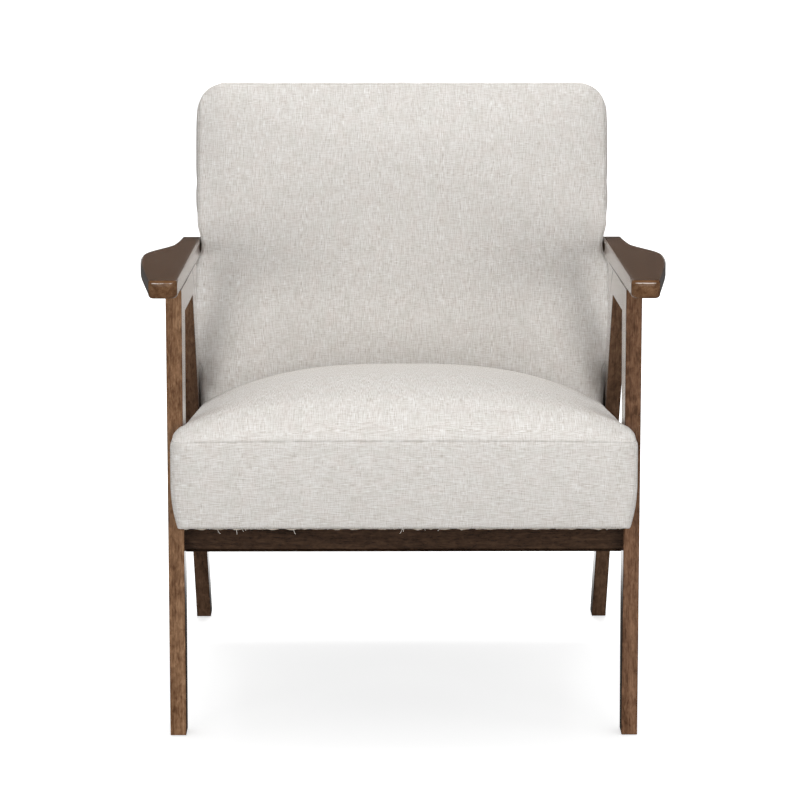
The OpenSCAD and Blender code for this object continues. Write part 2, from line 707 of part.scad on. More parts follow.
// Fasteners
washer_t = 1.6;
bolt_head_h = 5;
bolt_head_d = bolt_d * 1.6;
hex_d = bolt_d * 0.6;
hex_depth = 3;
screw_head_h = 3;
module frame_bolts()
    color(steel_colour) both_sides() bolt_places() union() {
        cross_rod(board_in_x - washer_t, bolt_tip_x - board_in_x + washer_t, bolt_d);
        difference() {
            cross_rod(board_in_x - washer_t - bolt_head_h, bolt_head_h, bolt_head_d);
            translate([board_in_x - washer_t - bolt_head_h - cut, 0, 0]) rotate([0, 90, 0])
                cylinder(h = cut + hex_depth, d = hex_d, $fn = 6);
        }
    }
module bolt_washers()
    color(steel_colour) both_sides() bolt_places() difference() {
        cross_rod(board_in_x - washer_t, washer_t, washer_d);
        cross_rod(board_in_x - washer_t - cut, washer_t + 2 * cut, bolt_d + 2 * fit);
    }
module insert_nuts()
    color(steel_colour) both_sides() difference() {
        insert_rods(insert_d);
        bolt_places() cross_rod(side_x - cut, insert_len + 2 * cut, bolt_d + dowel_fit);
    }
module arm_screws()
    color(steel_colour) both_sides() arm_screw_places() union() {
        cross_rod(board_in_x, side_x + arm_screw_reach - board_in_x, screw_d);
        cross_rod(board_in_x - screw_head_h, screw_head_h, screw_d * 2);
    }
module block_screws() color(steel_colour) both_sides() block_screw_rods(screw_d);
module arm_dowels() color(board_colour) both_sides() arm_dowel_rods(dowel_d);
module rail_dowels() color(board_colour) both_sides() rail_dowel_rods(dowel_d);
module stretcher_dowels() color(board_colour) both_sides() all_stretcher_dowels(dowel_d);
module foot_glides()
    color(dust_colour) both_sides() in_chair()
        for (y = [front_foot_d / 2, rear_foot_y + rear_foot_d / 2])
            translate([leg_x, y, 0]) cylinder(h = glide_t, d = glide_d);

left_front_leg();
right_front_leg();
left_rear_leg();
right_rear_leg();
left_top_rail();
right_top_rail();
left_arm();
right_arm();
front_stretcher();
rear_stretcher();
seat_front_board();
seat_rear_board();
seat_left_board();
seat_right_board();
seat_corner_blocks();
seat_webbing();
seat_foam();
seat_cover();
seat_dust_cover();
back_left_board();
back_right_board();
back_top_board();
back_bottom_board();
back_webbing();
back_foam();
back_cover();
back_outer_panel();
frame_bolts();
bolt_washers();
insert_nuts();
arm_screws();
block_screws();
arm_dowels();
rail_dowels();
stretcher_dowels();
foot_glides();
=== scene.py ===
from math import cos, pi, radians, sin, sqrt, tan
from random import Random

import bmesh
import bpy
from mathutils import Matrix, Vector, noise
from mathutils.bvhtree import BVHTree


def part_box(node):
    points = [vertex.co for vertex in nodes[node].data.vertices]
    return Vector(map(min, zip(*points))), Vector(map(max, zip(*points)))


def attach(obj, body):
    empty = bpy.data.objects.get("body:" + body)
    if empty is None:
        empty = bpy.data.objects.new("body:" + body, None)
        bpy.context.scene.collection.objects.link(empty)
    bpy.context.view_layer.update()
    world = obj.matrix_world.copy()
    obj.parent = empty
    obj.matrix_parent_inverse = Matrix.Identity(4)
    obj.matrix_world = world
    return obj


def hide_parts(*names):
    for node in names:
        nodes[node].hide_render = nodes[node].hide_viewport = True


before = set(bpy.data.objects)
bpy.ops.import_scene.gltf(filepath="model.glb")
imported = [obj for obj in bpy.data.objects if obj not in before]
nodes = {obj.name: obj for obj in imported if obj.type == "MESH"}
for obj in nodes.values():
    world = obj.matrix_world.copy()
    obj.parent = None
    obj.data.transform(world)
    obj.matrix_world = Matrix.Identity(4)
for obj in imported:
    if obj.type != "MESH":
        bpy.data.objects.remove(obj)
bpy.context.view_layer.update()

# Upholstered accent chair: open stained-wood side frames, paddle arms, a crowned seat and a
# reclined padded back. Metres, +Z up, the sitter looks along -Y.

scene = bpy.context.scene

# The photograph's camera, worked out from the lines of the chair
CAMERA_DISTANCE = 4.7408
CAMERA_HEIGHT = 1.2502
CAMERA_LEFT = 0.026
CAMERA_DOWN = radians(10.188)
CAMERA_TURN = radians(0.32)
PHOTO_SIZE = 800
PHOTO_FOCAL = 3450
CHAIR_MIDDLE_PX = 403
SENSOR = 36

# Seat unit, in its own sloping frame: Y along the underside, Z square to it
SEAT_RAKE = radians(6.7)
SEAT_Z = 0.291
SEAT_DEPTH = 0.443
SEAT_FRONT_H = 0.113
SEAT_SIDE_H = 0.136
SEAT_CROWN = 0.054
LEDGE_H = 0.060
# Its ears are the two ends of its front, which wrap before the legs
EAR_END = 0.0445
EAR_TUCK = 0.0088
SIDE_GAP = 0.0006

# Back unit, in its own frame: Y from the face to the rear, Z up the slope
BACK_RECLINE = radians(13)
BACK_H = 0.538
BACK_T = 0.090
BACK_CROWN = 0.024
BACK_CORNER = 0.041
# How far its sides stand out above the arms, and between the rear legs and the arms
BACK_SWELL = 0.0055
SWELL_RISE_H = 0.022
BACK_BULGE = 0.0098
BULGE_RISE_H = 0.014
BULGE_FALL_H = 0.005
# Where the rear legs and the arms cross its sides, up the slope from its foot
LEG_ON_BACK = 0.1261
LEG_CLEAR = 0.007
LEG_RAKE_ON_BACK = radians(46.4)
ARM_UNDER_ON_BACK = 0.2874
ARM_ON_BACK = 0.3175
SWELL_FROM = ARM_ON_BACK - 0.002

# Widths and places taken from the frame
side_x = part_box("right_front_leg")[0][0]
ear_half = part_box("seat_cover")[1][0]
seat_front_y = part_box("seat_cover")[0][1]
seat_half = side_x - SIDE_GAP
back_half = side_x - 2 * SIDE_GAP
seat_place = Matrix.Translation((0, seat_front_y - LEDGE_H * sin(SEAT_RAKE), SEAT_Z))
seat_frame = seat_place @ Matrix.Rotation(-SEAT_RAKE, 4, "X")
back_on_seat = Matrix.Translation((0, SEAT_DEPTH, LEDGE_H))
back_frame = seat_frame @ back_on_seat @ Matrix.Rotation(SEAT_RAKE - BACK_RECLINE, 4, "X")
rear_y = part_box("seat_cover")[1][1]
seat_len = (rear_y - seat_place.translation.y - LEDGE_H * sin(SEAT_RAKE)) / cos(SEAT_RAKE)


# Materials

SOCKETS = {
    "metallic": "Metallic", "specular": "Specular IOR Level",
    "coat": "Coat Weight", "coat_roughness": "Coat Roughness",
    "glow_colour": "Emission Color", "glow": "Emission Strength",
}
# Yarns change their shade along their length, each slipped against its neighbours
YARN_STEP = 0.9
YARN_SLIP = 9.0
SLIP_SEED = 5.0


class Shader:
    """The node tree of a material or of the world, built up call by call."""

    def __init__(self, name, kind=bpy.data.materials):
        self.owner = kind.new(name)
        self.owner.use_nodes = True
        self.tree = self.owner.node_tree

    def feed(self, socket, value):
        """Link a socket to another one, or give it a plain value."""
        if isinstance(value, bpy.types.NodeSocket):
            self.tree.links.new(value, socket)
        else:
            socket.default_value = value

    def node(self, kind, inputs=None, **settings):
        made = self.tree.nodes.new(kind)
        for key, value in settings.items():
            setattr(made, key, value)
        for key, value in (inputs or {}).items():
            self.feed(made.inputs[key], value)
        return made

    def math(self, operation, a, b=0.0):
        return self.node("ShaderNodeMath", {0: a, 1: b}, operation=operation).outputs[0]

    def object_place(self):
        return self.node("ShaderNodeTexCoord").outputs["Object"]

    def marked(self, attribute):
        """How far a part of the mesh was marked, from 0 to 1."""
        return self.node("ShaderNodeAttribute", attribute_name=attribute).outputs["Fac"]

    def scaled(self, vector, factors):
        made = self.node("ShaderNodeVectorMath", {0: vector, 1: factors}, operation="MULTIPLY")
        return made.outputs[0]

    def noise(self, vector, scale=1.0, detail=2.0, roughness=0.5, distortion=0.0):
        values = {"Vector": vector, "Scale": scale, "Detail": detail}
        values.update({"Roughness": roughness, "Distortion": distortion})
        return self.node("ShaderNodeTexNoise", values).outputs[0]

    def yarn_tone(self, number, along, width, length, seed=0.0):
        """The shade of single yarns, changing along each one out of step with its neighbours."""
        across = self.math("MULTIPLY", number, YARN_STEP)
        row = self.node("ShaderNodeCombineXYZ", {0: across, 2: seed + SLIP_SEED})
        slip = self.math("MULTIPLY", self.noise(row.outputs[0], detail=0), YARN_SLIP)
        place = self.math("ADD", self.math("MULTIPLY", along, length), slip)
        across = self.math("MULTIPLY", number, width)
        spot = self.node("ShaderNodeCombineXYZ", {0: across, 1: place, 2: seed})
        return self.noise(spot.outputs[0], detail=0)

    def spread(self, value, low, high, to_low=0.0, to_high=1.0, way="LINEAR"):
        values = {0: value, 1: low, 2: high, 3: to_low, 4: to_high}
        return self.node("ShaderNodeMapRange", values, interpolation_type=way).outputs[0]

    def fade(self, value, limits, at_low, at_high):
        """A change of strength between two places, soft at both ends."""
        return self.spread(value, *limits, at_low, at_high, way="SMOOTHSTEP")

    def blend(self, factor, a, b):
        return self.node("ShaderNodeMix", {0: factor, 6: a, 7: b}, data_type="RGBA").outputs[2]

    def ramp(self, factor, stops):
        made = self.node("ShaderNodeValToRGB", {0: factor})
        line = made.color_ramp.elements
        while len(line) < len(stops):
            line.new(0.5)
        for element, (place, colour) in zip(line, stops):
            element.position = place
            element.color = colour
        return made.outputs[0]

    def bump(self, height, distance, strength=1.0):
        values = {"Height": height, "Distance": distance, "Strength": strength}
        return self.node("ShaderNodeBump", values).outputs[0]

    def finish(self, colour, roughness, normal=None, **others):
        surface = self.tree.nodes["Principled BSDF"].inputs
        self.feed(surface["Base Color"], colour)
        self.feed(surface["Roughness"], roughness)
        if normal:
            self.feed(surface["Normal"], normal)
        for key, value in others.items():
            self.feed(surface[SOCKETS[key]], value)
        return self.owner


def srgb(red, green, blue):
    """A colour read off a screen as 0 to 255, as the linear value that a shader takes."""
    parts = [c / 255 for c in (red, green, blue)]
    return (*[c / 12.92 if c <= 0.04045 else ((c + 0.055) / 1.055) ** 2.4 for c in parts], 1.0)


# Lumps per metre across and along the grain: board figure, stain blotches, fibres and pores
FIGURE = (60, 60, 4)
BLOTCH = (170, 170, 75)
FIBRE = (900, 900, 45)
PORE = (1700, 1700, 210)
# Lumps per metre of the breaks in the painted highlight along the arms' noses
HIGHLIGHT_BREAKS = (210, 210, 210)
WOOD_ROUGHNESS = (0.13, 0.21)
LACQUER_ROUGHNESS = 0.08
PORE_DEPTH = 0.00012
# Hands have dulled the lacquer where a face is level, judged by the height of its normal; level
# faces also get a painted warmer tone, set for how the light falls on the arm tops
LEVEL_DULLED_AND_PAINTED = (0.84, 0.95)
PAINTED_TOP_SHARE = 0.5
PAINTED_TOP_WOOD = srgb(123, 80, 38)
PAINTED_NOSE_HIGHLIGHT = srgb(222, 214, 206)


def stained_wood(name, tones, turn=(0, 0, 0), top_dulling_and_paint=0.0, relief=0.4, specular=0.3):
    """Walnut-stained hardwood under satin lacquer. The grain runs along Z before the turn."""
    dark, middle, light = tones
    s = Shader(name)
    place = s.object_place()
    grain = s.node("ShaderNodeMapping", {"Vector": place, "Rotation": turn}).outputs[0]
    figure = s.noise(s.scaled(grain, FIGURE), detail=3, distortion=0.8)
    blotch = s.noise(s.scaled(grain, BLOTCH), detail=3, roughness=0.6, distortion=0.5)
    fibre = s.noise(s.scaled(grain, FIBRE), detail=3, roughness=0.6)
    dashes = s.noise(s.scaled(grain, PORE), detail=0)
    tone = s.math("ADD", s.math("MULTIPLY", figure, 0.34), s.math("MULTIPLY", blotch, 0.36))
    tone = s.math("ADD", tone, s.math("MULTIPLY", fibre, 0.30))
    colour = s.ramp(tone, [(0.39, dark), (0.50, middle), (0.61, light)])
    pore = s.spread(dashes, 0.64, 0.74)
    colour = s.blend(s.math("MULTIPLY", pore, 0.55), colour, dark)
    # Darker in patches along a narrow band at every edge
    rim_darkening = s.math("MULTIPLY", s.marked("rim"), s.spread(blotch, 0.40, 0.62, 0.38, 0.10))
    colour = s.blend(rim_darkening, colour, dark)
    # A painted pale highlight along the top front round of each arm's nose, broken in patches
    patchy = s.spread(s.noise(s.scaled(place, HIGHLIGHT_BREAKS), detail=2), 0.44, 0.56, 0.2, 1.0)
    colour = s.blend(s.math("MULTIPLY", s.marked("nose_highlight"), patchy), colour, PAINTED_NOSE_HIGHLIGHT)
    height = s.math("SUBTRACT", s.math("MULTIPLY", fibre, 0.4), pore)
    roughness = s.spread(fibre, 0.3, 0.7, *WOOD_ROUGHNESS)
    if top_dulling_and_paint:
        normal = s.node("ShaderNodeNewGeometry").outputs["Normal"]
        upward = s.node("ShaderNodeSeparateXYZ", {0: normal}).outputs[2]
        dulled_and_painted = s.spread(upward, *LEVEL_DULLED_AND_PAINTED)
        roughness = s.math("ADD", roughness, s.math("MULTIPLY", dulled_and_painted, top_dulling_and_paint))
        # Level faces also take a painted warmer tone, set for how the light falls on the arm tops
        colour = s.blend(s.math("MULTIPLY", dulled_and_painted, PAINTED_TOP_SHARE), colour, PAINTED_TOP_WOOD)
    return s.finish(
        colour, roughness, s.bump(height, PORE_DEPTH, relief),
        specular=specular, coat=1.0, coat_roughness=LACQUER_ROUGHNESS,
    )


YARN_PITCH = 0.00105
YARN_WAVER = 0.0016
WEAVE_DEPTH = 0.0003


def woven_cloth(name, tones):
    """Off-white heathered linen weave. U runs across the warp yarns, V along them, in metres."""
    s = Shader(name)
    uv = s.node("ShaderNodeUVMap", uv_map="cloth").outputs[0]
    waver = s.node("ShaderNodeTexNoise", {"Vector": uv, "Scale": 60.0, "Detail": 2.0})
    even = {0: waver.outputs["Color"], 1: (0.5, 0.5, 0.5)}
    shift = s.node("ShaderNodeVectorMath", even, operation="SUBTRACT").outputs[0]
    wavy = s.node("ShaderNodeVectorMath", {0: uv, 1: s.scaled(shift, (YARN_WAVER,) * 3)})
    yarns = s.scaled(wavy.outputs[0], (1 / YARN_PITCH, 1 / YARN_PITCH, 0))
    axes = s.node("ShaderNodeSeparateXYZ", {0: yarns})
    across = s.math("SINE", s.math("MULTIPLY", axes.outputs[0], pi))
    along = s.math("SINE", s.math("MULTIPLY", axes.outputs[1], pi))
    over = s.spread(s.math("MULTIPLY", across, along), -0.5, 0.5)
    warp = s.yarn_tone(axes.outputs[0], axes.outputs[1], 1.1, 0.11)
    weft = s.yarn_tone(axes.outputs[1], axes.outputs[0], 1.1, 0.13, 2.0)
    fleck = s.noise(s.scaled(yarns, (1.8, 1.8, 0)), detail=0)
    tone = s.math("ADD", s.math("MULTIPLY", warp, 0.48), s.math("MULTIPLY", weft, 0.34))
    tone = s.math("ADD", tone, s.math("MULTIPLY", fleck, 0.18))
    tone = s.spread(tone, 0.34, 0.66)
    colour = s.ramp(tone, [(at, srgb(*shade)) for at, shade in tones])
    pink = s.noise(uv, scale=42.0, detail=2)
    green = s.noise(s.scaled(uv, (55.0, 38.0, 0)), detail=2)
    colour = s.blend(s.spread(pink, 0.45, 0.75, 0.0, 0.18), colour, srgb(*CLOTH_PINK))
    colour = s.blend(s.spread(green, 0.45, 0.75, 0.0, 0.18), colour, srgb(*CLOTH_GREEN))
    slub = s.yarn_tone(axes.outputs[0], axes.outputs[1], 1.0, 0.10, 4.0)
    colour = s.blend(s.spread(slub, 0.72, 0.80, 0.0, 0.70), colour, srgb(*CLOTH_SPECK))
    # Painted shade along the seams' grooves, darker in uneven patches
    sewn = s.spread(s.marked("seam"), 0.3, 1.0)
    uneven = s.spread(s.noise(uv, scale=70.0, detail=2), 0.35, 0.65, 0.12, 0.50)
    colour = s.blend(s.math("MULTIPLY", sewn, uneven), colour, srgb(*SEAM_PAINTED_SHADE))
    tops = {0: over, 2: s.math("ABSOLUTE", along), 3: s.math("ABSOLUTE", across)}
    lay = s.node("ShaderNodeMix", tops, data_type="FLOAT").outputs[0]
    height = s.math("ADD", lay, tone)
    return s.finish(colour, 0.92, s.bump(height, WEAVE_DEPTH, 0.7), specular=0.0)


def loose_yarn(name):
    """Single yarns of the cloth, a little lighter than the weave."""
    s = Shader(name)
    place = s.object_place()
    twist = s.noise(s.scaled(place, (1800, 1800, 1800)), detail=1)
    colour = s.ramp(twist, [(0.35, srgb(206, 198, 188)), (0.65, srgb(240, 236, 230))])
    return s.finish(colour, s.spread(twist, 0.3, 0.7, 0.8, 0.95), s.bump(twist, 0.0001, 0.5))


def raw_board(name):
    """Pale sawn beech and pine inside the cushions."""
    s = Shader(name)
    place = s.object_place()
    ring = s.noise(s.scaled(place, (12, 60, 140)), detail=3, distortion=1.2)
    saw = s.noise(s.scaled(place, (700, 500, 60)), detail=2)
    colour = s.ramp(ring, [(0.3, srgb(190, 152, 106)), (0.7, srgb(222, 190, 146))])
    return s.finish(colour, s.spread(saw, 0.3, 0.7, 0.6, 0.8), s.bump(saw, 0.0002, 0.6))


def cut_foam(name):
    """Open-cell foam with its small pores."""
    s = Shader(name)
    place = s.object_place()
    cells = s.node("ShaderNodeTexVoronoi", {"Vector": place, "Scale": 620.0}).outputs["Distance"]
    patch = s.noise(place, scale=9.0)
    colour = s.ramp(patch, [(0.35, srgb(232, 219, 176)), (0.7, srgb(243, 234, 202))])
    return s.finish(colour, s.spread(cells, 0.0, 0.7, 0.8, 1.0), s.bump(cells, 0.0006, 0.8))


def strap_weave(name):
    """Elastic upholstery strap with its ribs across."""
    s = Shader(name)
    place = s.object_place()
    rib = s.node("ShaderNodeTexWave", {"Vector": place, "Scale": 180.0}, bands_direction="DIAGONAL")
    tone = s.noise(s.scaled(place, (400, 400, 400)), detail=2)
    colour = s.ramp(tone, [(0.35, srgb(88, 84, 76)), (0.65, srgb(132, 126, 112))])
    return s.finish(colour, 0.85, s.bump(rib.outputs[1], 0.0003, 0.7))


def dust_cloth(name):
    """Black non-woven cloth under the seat."""
    s = Shader(name)
    place = s.object_place()
    felt = s.noise(s.scaled(place, (420, 420, 420)), detail=4, roughness=0.7)
    dots = s.node("ShaderNodeTexVoronoi", {"Vector": place, "Scale": 380.0}).outputs["Distance"]
    colour = s.ramp(felt, [(0.35, srgb(26, 26, 27)), (0.7, srgb(50, 50, 51))])
    return s.finish(colour, s.spread(felt, 0.3, 0.7, 0.75, 0.95), s.bump(dots, 0.0003, 0.5))


def plated_steel(name):
    """Zinc-plated fastener steel."""
    s = Shader(name)
    place = s.object_place()
    wear = s.noise(s.scaled(place, (300, 300, 300)), detail=3)
    colour = s.ramp(wear, [(0.35, srgb(168, 170, 174)), (0.65, srgb(204, 206, 209))])
    roughness = s.spread(wear, 0.3, 0.7, 0.28, 0.45)
    return s.finish(colour, roughness, s.bump(wear, 0.0001, 0.4), metallic=1.0)


def glide_plastic(name):
    """Dark moulded plastic under the feet, dulled by the floor."""
    s = Shader(name)
    place = s.object_place()
    scuff = s.noise(s.scaled(place, (520, 520, 520)), detail=3)
    colour = s.ramp(scuff, [(0.35, srgb(34, 30, 27)), (0.7, srgb(58, 53, 48))])
    return s.finish(colour, s.spread(scuff, 0.3, 0.7, 0.5, 0.75), s.bump(scuff, 0.0001, 0.5))


# Tones of the cloth, from its darkest yarns to its lightest, as read off a screen
CLOTH_TONES = [
    (0.0, (190, 182, 174)), (0.35, (216, 211, 205)),
    (0.65, (230, 227, 223)), (1.0, (245, 244, 242)),
]
# Darker tones of the same cloth for the hem: painted shade under the seat's front edge
RAW_EDGE_SHADED_TONES = [(0.0, (150, 136, 121)), (0.5, (190, 178, 164)), (1.0, (220, 212, 203))]
CLOTH_PINK = (216, 202, 194)
CLOTH_GREEN = (200, 201, 190)
CLOTH_SPECK = (247, 246, 244)
# Painted shade for the seams' grooves
SEAM_PAINTED_SHADE = (120, 112, 104)
# Tones of the stained wood: dark, middle and light
LEG_TONES = (srgb(90, 61, 40), srgb(135, 101, 74), srgb(164, 129, 98))
# The right leg's copy is darker: painted shade, as the light falls more from the left
RIGHT_LEG_SHADED_TONES = (srgb(78, 53, 36), srgb(119, 87, 65), srgb(146, 111, 85))
# The rear legs' and rails' copy is darker: painted shade of the seat and arms over them
REAR_SHADED_TONES = (srgb(65, 46, 33), srgb(96, 71, 53), srgb(120, 92, 71))
ARM_TONES = (srgb(86, 60, 40), srgb(108, 79, 56), srgb(129, 98, 72))
# The stretchers' copy is darkest: painted shade, for the seat's overhang above them
CROSS_SHADED_TONES = (srgb(43, 30, 21), srgb(65, 47, 35), srgb(85, 64, 48))
REAR_LEG_LEAN = radians(34.5)
left_leg_wood = stained_wood("stained_wood_left_leg", LEG_TONES)
right_leg_shaded_wood = stained_wood("stained_wood_right_leg", RIGHT_LEG_SHADED_TONES)
rear_shaded_wood = stained_wood("stained_wood_rear_legs_painted_shade", REAR_SHADED_TONES, turn=(-REAR_LEG_LEAN, 0, 0))
arm_wood = stained_wood(
    "stained_wood_arms", ARM_TONES, turn=(pi / 2, 0, 0), top_dulling_and_paint=0.26, relief=0.12,
    specular=0.05,
)
rail_shaded_wood = stained_wood("stained_wood_rails_painted_shade", REAR_SHADED_TONES, turn=(pi / 2, 0, 0))
cross_shaded_wood = stained_wood("stained_wood_stretchers_painted_shade", CROSS_SHADED_TONES, turn=(0, pi / 2, 0))
upholstery = woven_cloth("upholstery_cloth", CLOTH_TONES)
raw_edge_shaded = woven_cloth("upholstery_raw_edge_painted_shade", RAW_EDGE_SHADED_TONES)
thread = loose_yarn("loose_yarn")
board_wood = raw_board("inner_board_wood")
foam = cut_foam("cushion_foam")
strap = strap_weave("webbing_strap")
dust = dust_cloth("dust_cover_cloth")
steel = plated_steel("fastener_steel")
glide = glide_plastic("glide_plastic")


# Shared ways of making a piece

def add_piece(bm, name, material):
    """Put a finished form into the scene, riding on the chair."""
    mesh = bpy.data.meshes.new(name)
    bm.to_mesh(mesh)
    bm.free()
    mesh.materials.append(material)
    piece = bpy.data.objects.new(name, mesh)
    scene.collection.objects.link(piece)
    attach(piece, "root")
    return piece


# The limits up to which two points are one, two heights or depths are equal, and two faces are
# one flat face
SAME_POINT = 1e-6
SAME_LEVEL = 1e-5
SAME_PLANE = radians(0.5)


def level_with(place, other):
    return abs(place - other) < SAME_LEVEL


def shade_smooth(piece, up_to=None):
    """Shade a piece as rounded: all of it, or only its faces below an area."""
    for polygon in piece.data.polygons:
        polygon.use_smooth = up_to is None or polygon.area < up_to


def cad_form(node):
    """A CAD node's mesh with its triangles joined back into whole faces."""
    bm = bmesh.new()
    bm.from_mesh(nodes[node].data)
    bmesh.ops.remove_doubles(bm, verts=bm.verts, dist=SAME_POINT)
    bmesh.ops.dissolve_limit(bm, angle_limit=SAME_PLANE, verts=bm.verts, edges=bm.edges)
    return bm


def broadest(bm, direction):
    """The largest of the faces that look in one direction."""
    facing = [f for f in bm.faces if f.normal.dot(direction) > 0.99]
    return max(facing, key=lambda f: f.calc_area())


def ease_edges(bm, edges, width, segments, **more):
    bmesh.ops.bevel(
        bm, geom=edges, offset=width, offset_type="OFFSET", segments=segments, profile=0.5,
        affect="EDGES", material=-1, **more,
    )


def moved_verts(made):
    """The points among the results of an extrusion."""
    return [v for v in made["geom"] if isinstance(v, bmesh.types.BMVert)]


def edge_middle(edge):
    return (edge.verts[0].co + edge.verts[1].co) / 2


JOINT_REACH = 0.0006


def touching(edge, neighbours):
    """Whether an edge lies in a joint with another wooden piece."""
    middle = edge_middle(edge)
    return any(tree.find_nearest(middle, JOINT_REACH)[0] is not None for tree in neighbours)


BROAD_AREA = 2e-4
RIM_BAND = 0.0022


def mark_rims(bm):
    """Set the broad faces in by a narrow band, where the colour is darker, and keep both flat."""
    broad = [f for f in bm.faces if f.calc_area() > BROAD_AREA]
    made = bmesh.ops.inset_individual(bm, faces=broad, thickness=RIM_BAND, use_even_offset=True)
    for f in bm.faces:
        f.smooth = True
    for f in broad + made["faces"]:
        f.smooth = False
    rim = bm.verts.layers.float.new("rim")
    for v in bm.verts:
        v[rim] = 1.0
    for f in broad:
        for v in f.verts:
            v[rim] = 0.0


WOOD_EASE = 0.0013
JOINT_EASE = 0.0003
SHARP = radians(25)


def board(
    node, outward, neighbours, ease=WOOD_EASE, joint_ease=JOINT_EASE, far_ease=0.0, round_more=None,
):
    """A wooden piece: the broad CAD face that looks outward, thickened, with eased edges."""
    source = cad_form(node)
    broad = broadest(source, Vector(outward))
    normal = broad.normal.copy()
    start = broad.verts[0].co.copy()
    depth = min((v.co - start).dot(normal) for v in source.verts)
    middle = start + normal * depth / 2
    bm = bmesh.new()
    face = bm.faces.new([bm.verts.new(v.co) for v in broad.verts])
    source.free()
    far = moved_verts(bmesh.ops.extrude_face_region(bm, geom=[face]))
    bmesh.ops.translate(bm, verts=far, vec=normal * depth)
    bmesh.ops.recalc_face_normals(bm, faces=bm.faces)
    if round_more:
        chosen, radius = round_more
        ease_edges(bm, [e for e in bm.edges if chosen(e)], radius, segments=5)
    sharp = [e for e in bm.edges if e.calc_face_angle(0) > SHARP]
    lower = [
        e for e in sharp if far_ease and all((v.co - middle).dot(normal) < 0 for v in e.verts)
    ]
    joint = [e for e in sharp if e not in lower and touching(e, neighbours)]
    free = [e for e in sharp if e not in joint and e not in lower]
    for edges, width in ((lower, far_ease), (free, ease), (joint, joint_ease)):
        alive = [e for e in edges if e.is_valid]
        ease_edges(bm, alive, width, segments=4, clamp_overlap=True)
    mark_rims(bm)
    return bm


WOODEN = ["front_leg", "rear_leg", "top_rail", "arm"]


def wooden_piece(node, outward, material, refine=None, **ways):
    """Replace one wooden CAD node with its eased and finished form."""
    neighbours = [tree for name, tree in wood_trees.items() if name != node]
    bm = board(node, outward, neighbours, **ways)
    if refine:
        refine(bm)
    piece = add_piece(bm, node + "_wood", material)
    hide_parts(node)
    return piece


def surface_tree(node):
    """The surface of a CAD node, for finding what touches it."""
    bm = bmesh.new()
    bm.from_mesh(nodes[node].data)
    tree = BVHTree.FromBMesh(bm)
    bm.free()
    return tree


wood_names = [side + "_" + part for side in ("left", "right") for part in WOODEN]
wood_names += ["front_stretcher", "rear_stretcher"]
wood_trees = {name: surface_tree(name) for name in wood_names}


# Wooden side frames, arms and stretchers

LEG_EASE = 0.0007


def side_frames():
    for side, sign, leg_wood in (("left", -1, left_leg_wood), ("right", 1, right_leg_shaded_wood)):
        outward = (sign, 0, 0)
        wooden_piece(side + "_front_leg", outward, leg_wood, ease=LEG_EASE)
        wooden_piece(side + "_rear_leg", outward, rear_shaded_wood, ease=LEG_EASE)
        wooden_piece(side + "_top_rail", outward, rail_shaded_wood)
        arm(side, sign)


ARM_NOSE = 0.010
ARM_EASE = 0.0030
ARM_UNDER_EASE = 0.0048
# The rounds tighten along the inner side, from behind the nose on. At the top (1) and the bottom
# (0) of the arm's box: the radius of the round, and the share of it that is kept
CRISP_FROM = 0.014
CRISP_FULL = 0.026
CRISP_KEEPS = ((1, ARM_EASE, 0.30), (0, ARM_UNDER_EASE, 0.08))


def tighten_inner_rounds(bm, node, sign):
    """Make the arm's straight inner edges crisp, over and under."""
    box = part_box(node)
    nose = box[0][1]
    cut_across(bm, 1, [nose + CRISP_FROM, nose + CRISP_FULL])
    for v in bm.verts:
        share = min(1, max(0, (v.co.y - nose - CRISP_FROM) / (CRISP_FULL - CRISP_FROM)))
        inward = abs(v.co.x) - side_x
        for corner, radius, kept in CRISP_KEEPS:
            level = box[corner][2]
            reach = radius + SAME_LEVEL
            if inward < reach and abs(v.co.z - level) < reach:
                scale = 1 - share * (1 - kept)
                v.co.x = sign * (side_x + inward * scale)
                v.co.z = level + (v.co.z - level) * scale


# How far the painted highlight line reaches back and down, as shares of the round's radius
HIGHLIGHT_BACK = 1.05
HIGHLIGHT_DOWN = 0.15


def mark_nose_highlight(bm, node):
    """Mark the round along the top of the nose's front, where a pale highlight is painted."""
    low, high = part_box(node)
    nose_highlight = bm.verts.layers.float.new("nose_highlight")
    for v in bm.verts:
        in_front = v.co.y - low[1] < ARM_EASE * HIGHLIGHT_BACK
        on_top = high[2] - v.co.z < ARM_EASE * HIGHLIGHT_DOWN
        v[nose_highlight] = 1.0 if in_front and on_top else 0.0


NOSE_DROP = 0.0042
NOSE_DROP_FROM = 0.013
NOSE_REACH = 0.001
NOSE_CUTS = (0, 1 / 6, 1 / 3, 1 / 2)


def drop_nose(bm, node):
    """Let the top of the nose fall a little towards its front edge."""
    low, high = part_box(node)
    start = low[1] + NOSE_DROP_FROM
    cut_across(bm, 1, [start - NOSE_DROP_FROM * share for share in NOSE_CUTS])
    for v in bm.verts:
        share = max(0, (start - v.co.y) / NOSE_DROP_FROM)
        up = (v.co.z - low[2]) / (high[2] - low[2])
        v.co.z -= NOSE_DROP * share * share * up
    for f in bm.faces:
        if f.calc_center_median().y < start and f.normal.z > 0.5:
            f.smooth = True


